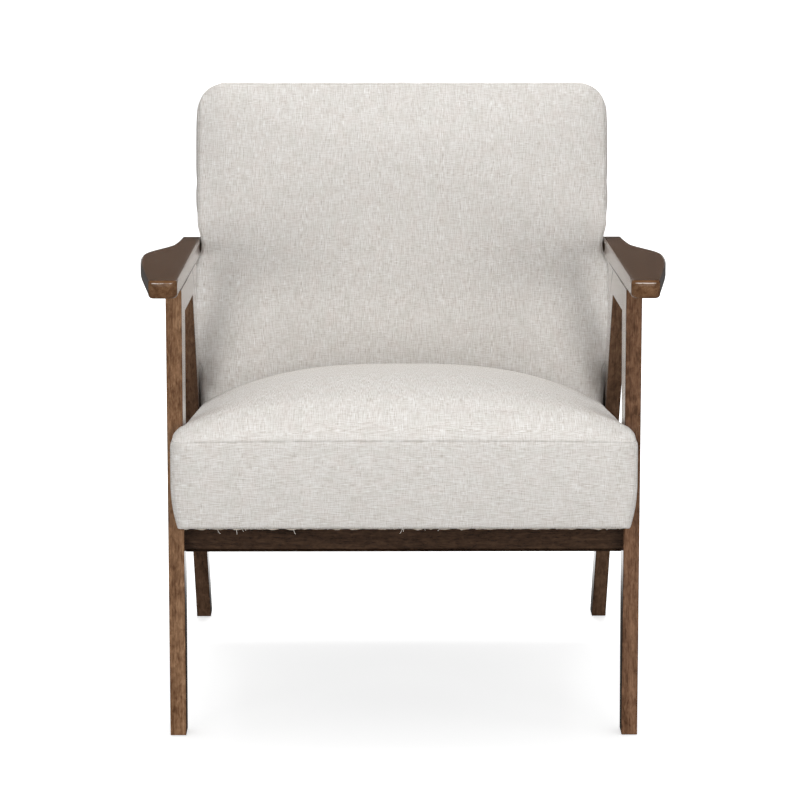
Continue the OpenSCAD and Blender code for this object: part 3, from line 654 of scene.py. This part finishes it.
def arm(side, sign):
    """A paddle arm with an eased rim and a rounded inner corner at its nose."""
    node = side + "_arm"
    low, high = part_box(node)

    def inner_nose(edge):
        middle = edge_middle(edge)
        upright = abs((edge.verts[0].co - edge.verts[1].co).normalized().z) > 0.9
        at_side = abs(abs(middle.x) - side_x) < NOSE_REACH
        return upright and at_side and middle.y < low[1] + NOSE_REACH

    def refine(bm):
        tighten_inner_rounds(bm, node, sign)
        mark_nose_highlight(bm, node)
        drop_nose(bm, node)

    wooden_piece(
        node, (0, 0, 1), arm_wood, ease=ARM_EASE, joint_ease=ARM_EASE, far_ease=ARM_UNDER_EASE,
        round_more=(inner_nose, ARM_NOSE), refine=refine,
    )


def stretchers():
    wooden_piece("front_stretcher", (0, -1, 0), cross_shaded_wood)
    wooden_piece("rear_stretcher", (0, 1, 0), cross_shaded_wood)


# Cushions: a box cut into small squares, shaped by formula, then swelled as cloth

def box_form(low, high):
    bm = bmesh.new()
    bmesh.ops.create_cube(bm, size=1)
    low = Vector(low)
    high = Vector(high)
    bmesh.ops.scale(bm, verts=bm.verts, vec=high - low)
    bmesh.ops.translate(bm, verts=bm.verts, vec=(low + high) / 2)
    return bm


def cut_across(bm, axis, places):
    """Cut the whole form by planes square to one axis."""
    normal = Vector((0, 0, 0))
    normal[axis] = 1
    for place in places:
        bmesh.ops.bisect_plane(
            bm, geom=bm.verts[:] + bm.edges[:] + bm.faces[:], dist=SAME_POINT,
            plane_co=normal * place, plane_no=normal,
        )


def push_out(bm, chosen, move):
    """Extrude the chosen faces along a vector."""
    faces = [f for f in bm.faces if chosen(f)]
    verts = moved_verts(bmesh.ops.extrude_face_region(bm, geom=faces))
    bmesh.ops.delete(bm, geom=faces, context="FACES")
    bmesh.ops.translate(bm, verts=verts, vec=move)


CLOTH_PITCH = 0.0085
SEAM_LOOP = 0.0017
NEAR_EDGE = (SEAM_LOOP, 0.0050, 0.0095, 0.0150)


def even_places(low, high, pitch=CLOTH_PITCH):
    """Cuts at an even pitch, with closer ones at both ends where the seams and rounds are."""
    ends = [low + d for d in NEAR_EDGE] + [high - d for d in NEAR_EDGE]
    first = low + NEAR_EDGE[-1]
    span = high - NEAR_EDGE[-1] - first
    steps = max(1, round(span / pitch))
    return sorted(ends + [first + span * i / steps for i in range(1, steps)])


def rounded(a, b, radius):
    """Distances from two square faces, moved so that the edge between them is a round."""
    if a >= radius or b >= radius:
        return a, b
    u = 1 - a / radius
    v = 1 - b / radius
    return radius * (1 - u * sqrt(1 - v * v / 2)), radius * (1 - v * sqrt(1 - u * u / 2))


CLOTH_FRAMES = 20


def evaluated(thing):
    return thing.evaluated_get(bpy.context.evaluated_depsgraph_get())


def swell(bm, name, held, cap):
    """Swell the panels between their seams as pressurised cloth, no point moving past the cap."""
    mesh = bpy.data.meshes.new(name)
    bm.to_mesh(mesh)
    body = bpy.data.objects.new(name, mesh)
    scene.collection.objects.link(body)
    group = body.vertex_groups.new(name="held")
    group.add([i for i, fixed in enumerate(held) if fixed], 1.0, "REPLACE")
    cloth = body.modifiers.new("Cloth", "CLOTH")
    settings = cloth.settings
    settings.quality = 5
    settings.mass = 0.3
    settings.tension_stiffness = 18
    settings.compression_stiffness = 18
    settings.shear_stiffness = 8
    settings.bending_stiffness = 0.8
    settings.use_pressure = True
    settings.uniform_pressure_force = 4
    settings.shrink_min = -0.006
    settings.vertex_group_mass = "held"
    settings.effector_weights.gravity = 0
    cloth.point_cache.frame_start = 1
    cloth.point_cache.frame_end = CLOTH_FRAMES
    for step in range(1, CLOTH_FRAMES + 1):
        scene.frame_set(step)
    bm.verts.ensure_lookup_table()
    for i, vertex in enumerate(evaluated(body).data.vertices):
        move = vertex.co - bm.verts[i].co
        if move.length > cap:
            move *= cap / move.length
        bm.verts[i].co += move
    scene.frame_set(1)
    bpy.data.objects.remove(body)
    bpy.data.meshes.remove(mesh)


FOAM_CLEAR = 0.0010
FOAM_REACH = 0.006


def clear_of_foam(mesh, tree):
    """Keep the cloth just outside the foam that fills it."""
    for v in mesh.vertices:
        near, normal, _, _ = tree.find_nearest(v.co, FOAM_REACH)
        if near is None:
            continue
        out = (v.co - near).dot(normal)
        if out < FOAM_CLEAR:
            v.co += normal * (FOAM_CLEAR - out)


# How far the pressed cloth may move
CLOTH_MOST = 0.005


def cushion(bm, name, place, shape, seam, held, groove, panel_uv, filling):
    """Shape, swell, seam and finish one cushion."""
    seams = [seam(v.co) for v in bm.verts]
    fixed = [sewn > 0 or held(v.co) for v, sewn in zip(bm.verts, seams)]
    for v in bm.verts:
        v.co = shape(v.co)
    bmesh.ops.recalc_face_normals(bm, faces=bm.faces)
    swell(bm, name + "_cloth", fixed, CLOTH_MOST)
    bm.normal_update()
    line = bm.verts.layers.float.new("seam")
    for v, sewn in zip(bm.verts, seams):
        v.co -= v.normal * groove * sewn
        v[line] = sewn
    free = [v for v, fast in zip(bm.verts, fixed) if not fast]
    bmesh.ops.smooth_vert(
        bm, verts=free, factor=0.3, use_axis_x=True, use_axis_y=True, use_axis_z=True,
    )
    piece = add_piece(bm, name, upholstery)
    finer = piece.modifiers.new("finer", "SUBSURF")
    finer.levels = 1
    finer.render_levels = 1
    done = bpy.data.meshes.new_from_object(evaluated(piece))
    piece.modifiers.clear()
    piece.data = done
    shade_smooth(piece)
    uv = done.uv_layers.new(name="cloth")
    for polygon in done.polygons:
        for corner in polygon.loop_indices:
            co = done.vertices[done.loops[corner].vertex_index].co
            uv.data[corner].uv = panel_uv(co, polygon.normal)
    done.transform(place)
    clear_of_foam(done, surface_tree(filling))
    return piece


# Seat

CROWN_POWER = 2.65
CROWN_RISE_Y = 0.210
CROWN_RISE_POWER = 0.8
EDGE_RISE_Y = 0.040
EAR_SHOULDER = 0.0245
SHOULDER_POWER = 1.8
EDGE_ROUND = 0.006
EAR_FRONT_R = 0.016
EAR_REAR_R = 0.012
# The share of the seat's height below which its ears tuck in
TUCK_TO = 0.42
FRONT_LEAN = -tan(SEAT_RAKE)
BACK_LEAN = tan(BACK_RECLINE - SEAT_RAKE)


def quarter(share):
    """A rise from 0 to 1 that starts steep and ends level."""
    return sin(pi / 2 * min(1, max(0, share)))


def seat_top(x, y, half):
    """Height of the seat's top above its underside, curving down over the ears."""
    edge = SEAT_FRONT_H + (SEAT_SIDE_H - SEAT_FRONT_H) * quarter(y / EDGE_RISE_Y)
    crown = SEAT_CROWN * quarter(y / CROWN_RISE_Y) ** CROWN_RISE_POWER
    full = edge + crown * (1 - min(1, x / seat_half) ** CROWN_POWER)
    wall = SEAT_FRONT_H if half > seat_half else edge
    start = ear_half - EAR_SHOULDER
    share = min(1, max(0, x - start) / (half - start))
    return wall + (full - wall) * (1 - share ** SHOULDER_POWER) ** (1 / SHOULDER_POWER)


def seat_shape(co):
    """Where a point of the plain seat box lies on the shaped seat."""
    x, y, z = abs(co.x), co.y, co.z
    sign = 1 if co.x >= 0 else -1
    top = SEAT_SIDE_H
    in_ear = y < EAR_END + SAME_LEVEL
    before_back = y < SEAT_DEPTH + SAME_LEVEL
    half = ear_half if in_ear else seat_half
    # Rounds along the edges of the box
    from_side, from_front = rounded(half - x, y, EAR_FRONT_R)
    if in_ear and x > seat_half:
        from_side = rounded(from_side, EAR_END - y, EAR_REAR_R)[0]
    from_front, from_bottom = rounded(from_front, z, EDGE_ROUND)
    from_front, from_top = rounded(from_front, top - z, EDGE_ROUND)
    if z > LEDGE_H and before_back:
        from_side, from_top = rounded(from_side, min(from_top, top - z), EDGE_ROUND)
        z = top - from_top
    else:
        z = from_bottom
    x = half - from_side
    y = from_front
    # Narrower towards the bottom of the ears
    if in_ear:
        drop = max(0, 1 - z / (TUCK_TO * top))
        x -= EAR_TUCK * drop * drop * x / half
    # Crown
    if z > LEDGE_H and before_back:
        z = LEDGE_H + (z - LEDGE_H) / (top - LEDGE_H) * (seat_top(x, y, half) - LEDGE_H)
    # Front upright, rear along the back's face
    if before_back:
        share = max(0, y - EAR_END) / (SEAT_DEPTH - EAR_END)
        y += (FRONT_LEAN + (BACK_LEAN - FRONT_LEAN) * share) * (z - LEDGE_H)
    return Vector((sign * x, y, z))


CORNER_SEAM = 0.45
# The front panel is free above the strip that is stapled to the front board
HELD_FOOT = 0.004


def seat_seam(co):
    """The welted edges: round the top and, more faintly, up the front corners of the ears."""
    on_top = level_with(co.z, SEAT_SIDE_H)
    half = ear_half if co.y < EAR_END + SAME_LEVEL else seat_half
    on_side = level_with(abs(co.x), half)
    on_front = level_with(co.y, 0)
    ear_back = level_with(co.y, EAR_END) and abs(co.x) > seat_half - SAME_LEVEL
    rear = level_with(co.y, SEAT_DEPTH)
    if on_top and (on_side or on_front or ear_back or rear):
        return 1.0
    return CORNER_SEAM if on_front and on_side else 0.0


def seat_held(co):
    """Where the seat lies against the frames, the back or its own boards."""
    in_front = level_with(co.y, 0) and co.z > HELD_FOOT
    return not (in_front or level_with(co.z, SEAT_SIDE_H))


# How squarely a piece of cloth looks sideways, forward or up, to be cut as that panel
FACES_ASIDE = 0.70
FACES_FRONT = 0.75
FACES_UP = 0.70


def seat_uv(co, normal):
    """Cloth directions on each panel: streaks across the front panel, front to back elsewhere.

    A whole metre, here and on the back, cuts a panel from another place on the bolt.
    """
    if abs(normal.x) > FACES_ASIDE:
        return co.z, co.y
    if normal.y < -FACES_FRONT:
        return co.z, co.x
    if normal.y > FACES_FRONT:
        return co.x, co.z
    return co.x + 1, co.y


# Cuts through the seat box, closer where it is rounded most
EAR_WRAPS = (0.003, 0.006, 0.009, 0.0115, 0.0135)
EAR_DEPTHS = (0.005, 0.0095, 0.016, 0.023, 0.030, 0.036, 0.041)
SEAT_HEIGHTS = (
    0.0025, 0.0055, 0.010, 0.018, 0.027, 0.036, 0.045, 0.053,
    0.069, 0.078, 0.087, 0.096, 0.105, 0.114, 0.122, 0.129,
)
LEDGE_PITCH = 0.012


def seat_cushion():
    """The seat: a box with two ears before the legs and a low ledge behind the back."""
    bm = box_form((-seat_half, 0, 0), (seat_half, SEAT_DEPTH, SEAT_SIDE_H))
    cut_across(bm, 1, [EAR_END])
    cut_across(bm, 2, [LEDGE_H])
    wrap = ear_half - seat_half
    for sign in (-1, 1):
        push_out(
            bm, lambda f: f.normal.x * sign > 0.9 and f.calc_center_median().y < EAR_END,
            (sign * wrap, 0, 0),
        )
    push_out(
        bm, lambda f: f.normal.y > 0.9 and f.calc_center_median().z < LEDGE_H
        and level_with(f.calc_center_median().y, SEAT_DEPTH), (0, seat_len - SEAT_DEPTH, 0),
    )
    bmesh.ops.remove_doubles(bm, verts=bm.verts, dist=SAME_POINT)
    wraps = [*EAR_WRAPS, wrap - SEAM_LOOP / 2]
    ear = [sign * (seat_half + d) for sign in (-1, 1) for d in wraps]
    cut_across(bm, 0, even_places(-seat_half, seat_half) + ear)
    depths = [SEAM_LOOP, *EAR_DEPTHS, EAR_END - SEAM_LOOP]
    cut_across(bm, 1, depths + even_places(EAR_END, SEAT_DEPTH))
    cut_across(bm, 1, even_places(SEAT_DEPTH, seat_len, LEDGE_PITCH))
    cut_across(bm, 2, [*SEAT_HEIGHTS, SEAT_SIDE_H - SEAM_LOOP])
    piece = cushion(
        bm, "seat_cushion", seat_frame, seat_shape, seat_seam, seat_held,
        groove=0.0016, panel_uv=seat_uv, filling="seat_foam",
    )
    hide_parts("seat_cover")
    return piece


# Back

BACK_EDGE_R = 0.007
BACK_REAR_R = 0.004
BACK_CROWN_FROM = 0.150
BACK_CROWN_FULL = 0.300
BACK_CROWN_FADE = 0.150
BACK_CROWN_POWER = 2.6
BACK_RISE_POWER = 0.9
BACK_FADE_POWER = 0.8
# The foot leans with the seat under it, over its last stretch, and stands just clear of it
FOOT_LEAN_H = 0.050
FOOT_CLEAR = 0.0006


def back_rise(x, z, half):
    """How far the face of the back stands out."""
    up = quarter((z - BACK_CROWN_FROM) / BACK_CROWN_FULL) ** BACK_RISE_POWER
    fade = quarter((BACK_H - z) / BACK_CROWN_FADE) ** BACK_FADE_POWER
    return BACK_CROWN * up * fade * (1 - min(1, x / half) ** BACK_CROWN_POWER)


def back_swell(y, z):
    """How far the sides stand out above the arms, and between the rear legs and the arms."""
    above = BACK_SWELL * quarter((z - SWELL_FROM) / SWELL_RISE_H)
    under_arm = ARM_UNDER_ON_BACK + y * tan(BACK_RECLINE) - z
    behind_leg = z + y / tan(LEG_RAKE_ON_BACK) - LEG_ON_BACK - LEG_CLEAR
    below = quarter(behind_leg / BULGE_RISE_H) * quarter(under_arm / BULGE_FALL_H)
    return above + BACK_BULGE * below


def pulled_in(from_side, from_top, depth, radius):
    """Round the edge between the back's rim and its face or rear, on the nearer of two sides."""
    near = min(from_side, from_top)
    if near >= radius or depth >= radius:
        return from_side, from_top, depth
    pulled, depth = rounded(near, depth, radius)
    if from_side <= from_top:
        return pulled, from_top, depth
    return from_side, pulled, depth


def back_shape(co):
    """Where a point of the plain back box lies on the shaped back."""
    x, y, z = abs(co.x), co.y, co.z
    sign = 1 if co.x >= 0 else -1
    from_side, from_top = rounded(back_half - x, BACK_H - z, BACK_CORNER)
    if y < BACK_T / 2:
        from_side, from_top, y = pulled_in(from_side, from_top, y, BACK_EDGE_R)
    else:
        from_side, from_top, rear = pulled_in(from_side, from_top, BACK_T - y, BACK_REAR_R)
        y = BACK_T - rear
    z = BACK_H - from_top
    swelled = back_swell(y, z)
    x = (back_half - from_side) * (1 + swelled / back_half)
    front = max(0, 1 - y / BACK_T)
    y -= back_rise(x, z, back_half + swelled) * front * front
    z += BACK_LEAN * co.y * max(0, 1 - z / FOOT_LEAN_H) + FOOT_CLEAR
    return Vector((sign * x, y, z))


def on_rim(co):
    return level_with(abs(co.x), back_half) or level_with(co.z, BACK_H)


def back_seam(co):
    """The edge of the face panel, up both sides and across the top."""
    return 1.0 if level_with(co.y, 0) and on_rim(co) else 0.0


# The lowest free cloth on the face, and on the rim above the arm, and the rim's free width
FREE_FACE_Z = 0.030
FREE_RIM_Z = ARM_ON_BACK + 0.030
FREE_RIM_Y = (0.004, BACK_T - 0.010)


def back_held(co):
    """Everything but the face panel and the rim above the arms."""
    free_face = level_with(co.y, 0) and co.z > FREE_FACE_Z
    free_rim = on_rim(co) and co.z > FREE_RIM_Z and FREE_RIM_Y[0] < co.y < FREE_RIM_Y[1]
    return not (free_face or free_rim)


def back_uv(co, normal):
    """Streaks run up the face, and along the rim."""
    if abs(normal.x) > FACES_ASIDE:
        return co.y + 2, co.z
    if normal.z > FACES_UP:
        return co.y + 3, co.x
    return co.x, co.z


# Cuts in the back's corners, in place of the even ones there
CORNER_FROM = 0.0155
CORNER_CUTS = (0.022, 0.029, 0.036)


def back_cushion():
    """The reclined back, with two rounded top corners."""
    bm = box_form((-back_half, 0, 0), (back_half, BACK_T, BACK_H))
    sides = even_places(-back_half, back_half)
    sides = [x for x in sides if not CORNER_FROM < back_half - abs(x) < BACK_CORNER]
    sides += [sign * (back_half - d) for sign in (-1, 1) for d in CORNER_CUTS]
    heights = [z for z in even_places(0, BACK_H) if not CORNER_FROM < BACK_H - z < BACK_CORNER]
    heights += [BACK_H - d for d in CORNER_CUTS]
    cut_across(bm, 0, sides)
    cut_across(bm, 1, even_places(0, BACK_T))
    cut_across(bm, 2, heights)
    piece = cushion(
        bm, "back_cushion", back_frame, back_shape, back_seam, back_held,
        groove=0.0014, panel_uv=back_uv, filling="back_foam",
    )
    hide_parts("back_cover")
    return piece


# Sheets: the outer back and the dust cover

def box_uv(piece, across, along):
    """Cloth directions on a flat sheet."""
    uv = piece.data.uv_layers.new(name="cloth")
    for loop in piece.data.loops:
        co = piece.data.vertices[loop.vertex_index].co
        uv.data[loop.index].uv = (co.dot(across), co.dot(along))


# How far the cloth is set under the CAD panel's face, its thickness, and the steps of its edge
OUTER_SET = 0.0008
OUTER_T = 0.0007
OUTER_EDGE = ((0.0016, 0.0009), (0.0030, 0.0005), (0.0050, 0.0))
OUTER_FLAT_AREA = 1e-3


def outer_back():
    """The rear cloth, drawn tight over its cardboard edge strip."""
    node = "back_outer_panel"
    source = cad_form(node)
    turn = back_frame.to_3x3()
    broad = broadest(source, turn @ Vector((0, 1, 0)))
    normal = broad.normal.copy()
    bm = bmesh.new()
    face = bm.faces.new([bm.verts.new(v.co - normal * OUTER_SET) for v in broad.verts])
    source.free()
    far = moved_verts(bmesh.ops.extrude_face_region(bm, geom=[face]))
    bmesh.ops.translate(bm, verts=far, vec=normal * -OUTER_T)
    bmesh.ops.recalc_face_normals(bm, faces=bm.faces)
    top = broadest(bm, normal)
    for step, rise in OUTER_EDGE:
        bmesh.ops.inset_region(bm, faces=[top], thickness=step, depth=rise, use_even_offset=True)
    piece = add_piece(bm, "outer_back_cloth", upholstery)
    shade_smooth(piece, OUTER_FLAT_AREA)
    box_uv(piece, turn @ Vector((1, 0, 0)), turn @ Vector((0, 0, 1)))
    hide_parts(node)
    return piece


DUST_SET = 0.0008
DUST_SAG = 0.0022
DUST_WAVE = 0.11
DUST_WAVE_START = Vector((5, 10, 15))
DUST_STEPS = 44
# The cloth lies flat along both stretchers
FRONT_RAIL_Y = 0.088
RAIL_REACH = 0.02


def dust_cover():
    """Black cloth stapled under the seat, sagging a little between the stretchers."""
    node = "seat_dust_cover"
    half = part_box(node)[1][0]
    place = seat_frame.inverted()
    corners = [place @ v.co for v in nodes[node].data.vertices]
    start = min(c.y for c in corners)
    end = max(c.y for c in corners)
    bm = bmesh.new()
    bmesh.ops.create_grid(bm, x_segments=DUST_STEPS, y_segments=DUST_STEPS, size=0.5)
    bmesh.ops.scale(bm, verts=bm.verts, vec=(2 * half, end - start, 1))
    bmesh.ops.translate(bm, verts=bm.verts, vec=(0, (start + end) / 2, -DUST_SET))
    for v in bm.verts:
        aside = v.co.x / half
        along = (2 * v.co.y - start - end) / (end - start)
        free = (1 - aside ** 6) * (1 - along ** 6)
        wave = noise.noise(v.co / DUST_WAVE + DUST_WAVE_START)
        if min(abs(v.co.y - FRONT_RAIL_Y), abs(v.co.y - seat_len)) >= RAIL_REACH:
            v.co.z -= free * DUST_SAG * (1 + wave)
    bmesh.ops.transform(bm, matrix=seat_frame, verts=bm.verts)
    piece = add_piece(bm, "dust_cover_cloth", dust)
    shade_smooth(piece)
    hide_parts(node)
    return piece


# Ragged hem and loose threads under the seat's front edge

HEM_Y = 0.0128
HEM_STEPS = 230
HEM_H = 0.012
HEM_T = 0.0008
HEM_SHOWS = 0.0005
HEM_END = 0.002
HEM_FRAY = 0.0015
HEM_WAVE = 0.0006


def ragged_hem():
    """The raw edge of the front panel, turned under and showing below the seat."""
    bm = bmesh.new()
    length = 2 * (seat_half - HEM_END)
    bmesh.ops.create_grid(bm, x_segments=HEM_STEPS, y_segments=3, size=0.5)
    bmesh.ops.scale(bm, verts=bm.verts, vec=(length, HEM_H, 1))
    bmesh.ops.rotate(bm, verts=bm.verts, cent=(0, 0, 0), matrix=Matrix.Rotation(pi / 2, 3, "X"))
    bottom = min(v.co.z for v in bm.verts)
    for v in bm.verts:
        coarse = noise.noise(Vector((v.co.x * 85, 0, 4)))
        fine = noise.noise(Vector((v.co.x * 300, 9, 1)))
        if v.co.z < bottom + SAME_LEVEL:
            v.co.z -= HEM_FRAY * (coarse + 0.7 * fine)
        v.co.y = HEM_Y + HEM_WAVE * noise.noise(Vector((v.co.x * 60, v.co.z * 60, 3)))
        v.co.z += HEM_H / 2 - HEM_SHOWS
    bmesh.ops.transform(bm, matrix=seat_frame, verts=bm.verts)
    bmesh.ops.solidify(bm, geom=bm.faces[:], thickness=HEM_T)
    # The hem's darker cloth is painted shade under the seat's front edge
    piece = add_piece(bm, "front_hem", raw_edge_shaded)
    turn = seat_frame.to_3x3()
    box_uv(piece, turn @ Vector((0, 0, 1)), turn @ Vector((1, 0, 0)))


THREAD_COUNT = 15
THREAD_RADIUS = 0.00028
THREAD_STEPS = 6
THREAD_LENGTHS = (0.004, 0.006, 0.009)
THREAD_TURN = 1.3
THREAD_CURL = 1.6
THREAD_FORWARD = 0.25
THREAD_END = 0.012
THREAD_Y = HEM_Y - 0.0006
THREAD_Z = 0.002


def loose_threads():
    """Ends of yarn that hang out of the hem, each a thin curl."""
    pick = Random(7)
    line = bpy.data.curves.new("loose_threads", "CURVE")
    line.dimensions = "3D"
    line.bevel_depth = THREAD_RADIUS
    line.bevel_resolution = 1
    line.use_fill_caps = True
    reach = seat_half - THREAD_END
    for _ in range(THREAD_COUNT):
        spot = Vector((pick.uniform(-reach, reach), THREAD_Y, THREAD_Z))
        length = pick.choice(THREAD_LENGTHS)
        turn = pick.uniform(-THREAD_TURN, THREAD_TURN)
        curl = pick.uniform(-THREAD_CURL, THREAD_CURL)
        strand = line.splines.new("POLY")
        strand.points.add(THREAD_STEPS)
        for step, point in enumerate(strand.points):
            point.co = (*(seat_frame @ spot), 1)
            lean = turn + curl * step / THREAD_STEPS
            way = Vector((sin(lean), -THREAD_FORWARD, -cos(lean)))
            spot = spot + length / THREAD_STEPS * way
    shape = bpy.data.objects.new("thread_line", line)
    scene.collection.objects.link(shape)
    drawn = evaluated(shape)
    bm = bmesh.new()
    bm.from_mesh(drawn.to_mesh())
    drawn.to_mesh_clear()
    bpy.data.objects.remove(shape)
    shade_smooth(add_piece(bm, "loose_threads", thread))


# Small pieces under the chair and inside it

GLIDE_RIM = radians(60)
GLIDE_EASE = 0.0006
GLIDE_FLAT_AREA = 1e-4


def foot_glides():
    """Moulded glides with a softened rim."""
    bm = cad_form("foot_glides")
    rim = [e for e in bm.edges if e.calc_face_angle(0) > GLIDE_RIM]
    ease_edges(bm, rim, GLIDE_EASE, segments=2)
    piece = add_piece(bm, "moulded_glides", glide)
    shade_smooth(piece, GLIDE_FLAT_AREA)
    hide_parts("foot_glides")


def finish_inner_nodes():
    """Materials of the pieces that the covers hide."""
    finishes = {
        board_wood: ("board", "blocks", "dowels"),
        foam: ("foam",),
        strap: ("webbing",),
        steel: ("bolts", "washers", "nuts", "screws"),
    }
    for name, node in nodes.items():
        for material, endings in finishes.items():
            if name.endswith(endings):
                node.data.materials.clear()
                node.data.materials.append(material)


# Studio: a white backdrop, a pale floor, soft lamps and the camera

WORLD_LIGHT = 0.48
WHITE = (1, 1, 1, 1)
# What the wood mirrors: white near the floor line straight behind, dark elsewhere
MIRRORED_SKY = 0.05
MIRRORED_UP = (0.0, sin(radians(2.5)))
MIRRORED_ASIDE = (0.12, 0.22)
MIRRORED_BEHIND = (0.0, 0.5)
LAMP_AIM = Vector((0, 0, 0.4))
LAMPS = [
    ("lamp_above", (0.0, 0.45, 3.2), (2.2, 1.4), 42),
    ("lamp_front", (0.0, -4.2, 2.4), (3.0, 1.6), 19),
    ("lamp_behind", (0.0, 3.8, 1.7), (2.4, 1.6), 22),
    ("lamp_low_left", (-1.7, -3.0, 0.55), (1.2, 1.0), 30),
    ("lamp_low_right", (1.7, -3.0, 0.55), (1.2, 1.0), 33),
    ("lamp_left", (-3.0, -1.6, 1.8), (1.4, 1.6), 4),
    ("lamp_right", (3.0, -1.6, 1.8), (1.4, 1.6), 9),
]


def backdrop_light():
    """A white backdrop for the camera, mirrored near the floor line, and a soft fill."""
    s = Shader("studio", bpy.data.worlds)
    path = s.node("ShaderNodeLightPath").outputs
    way = s.node("ShaderNodeTexCoord").outputs["Generated"]
    aside, behind, up = s.node("ShaderNodeSeparateXYZ", {0: way}).outputs
    sky = s.fade(up, MIRRORED_UP, 1.0, MIRRORED_SKY)
    sky = s.math("MULTIPLY", sky, s.fade(s.math("ABSOLUTE", aside), MIRRORED_ASIDE, 1.0, 0.0))
    sky = s.math("MULTIPLY", sky, s.fade(behind, MIRRORED_BEHIND, 0.0, 1.0))
    sky = s.math("MAXIMUM", sky, MIRRORED_SKY)
    camera = path["Is Camera Ray"]
    mirrors = s.math("MAXIMUM", path["Is Glossy Ray"], path["Is Transmission Ray"])
    plain = s.math("SUBTRACT", 1.0, s.math("MAXIMUM", camera, mirrors))
    shown = s.math("MAXIMUM", camera, s.math("MULTIPLY", mirrors, sky))
    backdrop = s.tree.nodes["Background"].inputs
    s.feed(backdrop["Color"], WHITE)
    s.feed(backdrop["Strength"], s.math("ADD", shown, s.math("MULTIPLY", plain, WORLD_LIGHT)))
    scene.world = s.owner


FLOOR_HALF = 30.0
FLOOR_PAINT = (0.22, 0.215, 0.21, 1)
FLOOR_SEEN = (0.70, 0.70, 0.70, 1)
FLOOR_MIRRORED = (0.04, 0.04, 0.04, 1)
# The floor's own white, from beside the chair out to where it reaches full white
NEAR_GLOW = 0.63
GLOW_FROM_TO = (0.30, 1.30)
# The white that the wood mirrors starts farther out, straight behind
MIRROR_GLOW = 0.9
MIRROR_REST = 0.05
MIRROR_GLOW_FROM_TO = (0.40, 0.90)
MIRROR_ASIDE = (0.45, 0.80)
MIRROR_BEHIND = (0.30, 0.80)


def floor_paint():
    """White to the camera outside the chair's shadow, and darker to the wood and the lamps."""
    s = Shader("floor_paint")
    path = s.node("ShaderNodeLightPath").outputs
    camera = path["Is Camera Ray"]
    glossy = path["Is Glossy Ray"]
    place = s.object_place()
    away = s.node("ShaderNodeVectorMath", {0: place}, operation="LENGTH").outputs["Value"]
    aside, behind, _ = s.node("ShaderNodeSeparateXYZ", {0: place}).outputs
    aside = s.fade(s.math("ABSOLUTE", aside), MIRROR_ASIDE, 1.0, MIRROR_REST)
    behind = s.fade(behind, MIRROR_BEHIND, MIRROR_REST, 1.0)
    seen = s.fade(away, GLOW_FROM_TO, NEAR_GLOW, 1.0)
    mirrored = s.math("MULTIPLY", s.fade(away, MIRROR_GLOW_FROM_TO, 0.0, MIRROR_GLOW), aside)
    mirrored = s.math("MULTIPLY", mirrored, behind)
    glow = s.math("ADD", s.math("MULTIPLY", camera, seen), s.math("MULTIPLY", glossy, mirrored))
    colour = s.blend(camera, s.blend(glossy, FLOOR_PAINT, FLOOR_MIRRORED), FLOOR_SEEN)
    return s.finish(colour, 0.9, specular=0.0, glow_colour=WHITE, glow=glow)


def floor():
    bm = bmesh.new()
    bmesh.ops.create_grid(bm, x_segments=1, y_segments=1, size=FLOOR_HALF)
    mesh = bpy.data.meshes.new("floor")
    bm.to_mesh(mesh)
    bm.free()
    mesh.materials.append(floor_paint())
    ground = bpy.data.objects.new("floor", mesh)
    scene.collection.objects.link(ground)


def softbox(name, place, size, watts):
    """A rectangular lamp that looks at the chair. Only the one in front shows in the lacquer."""
    data = bpy.data.lights.new(name, "AREA")
    data.shape = "RECTANGLE"
    data.size, data.size_y = size
    data.energy = watts
    lamp = bpy.data.objects.new(name, data)
    lamp.location = place
    lamp.visible_glossy = name == "lamp_front"
    lamp.rotation_euler = (LAMP_AIM - Vector(place)).to_track_quat("-Z", "Y").to_euler()
    scene.collection.objects.link(lamp)


def photo_camera():
    """The photograph's camera."""
    data = bpy.data.cameras.new("camera")
    data.sensor_width = SENSOR
    data.lens = PHOTO_FOCAL / PHOTO_SIZE * SENSOR
    data.shift_x = -(CHAIR_MIDDLE_PX - PHOTO_SIZE / 2) / PHOTO_SIZE
    camera = bpy.data.objects.new("camera", data)
    camera.location = (-CAMERA_LEFT, -CAMERA_DISTANCE, CAMERA_HEIGHT)
    camera.rotation_euler = (pi / 2 - CAMERA_DOWN, 0, -CAMERA_TURN)
    scene.collection.objects.link(camera)
    scene.camera = camera
    scene.view_settings.view_transform = "Standard"


def studio():
    backdrop_light()
    floor()
    for lamp in LAMPS:
        softbox(*lamp)
    photo_camera()


studio()
side_frames()
stretchers()
seat_cushion()
back_cushion()
outer_back()
dust_cover()
ragged_hem()
loose_threads()
foot_glides()
finish_inner_nodes()
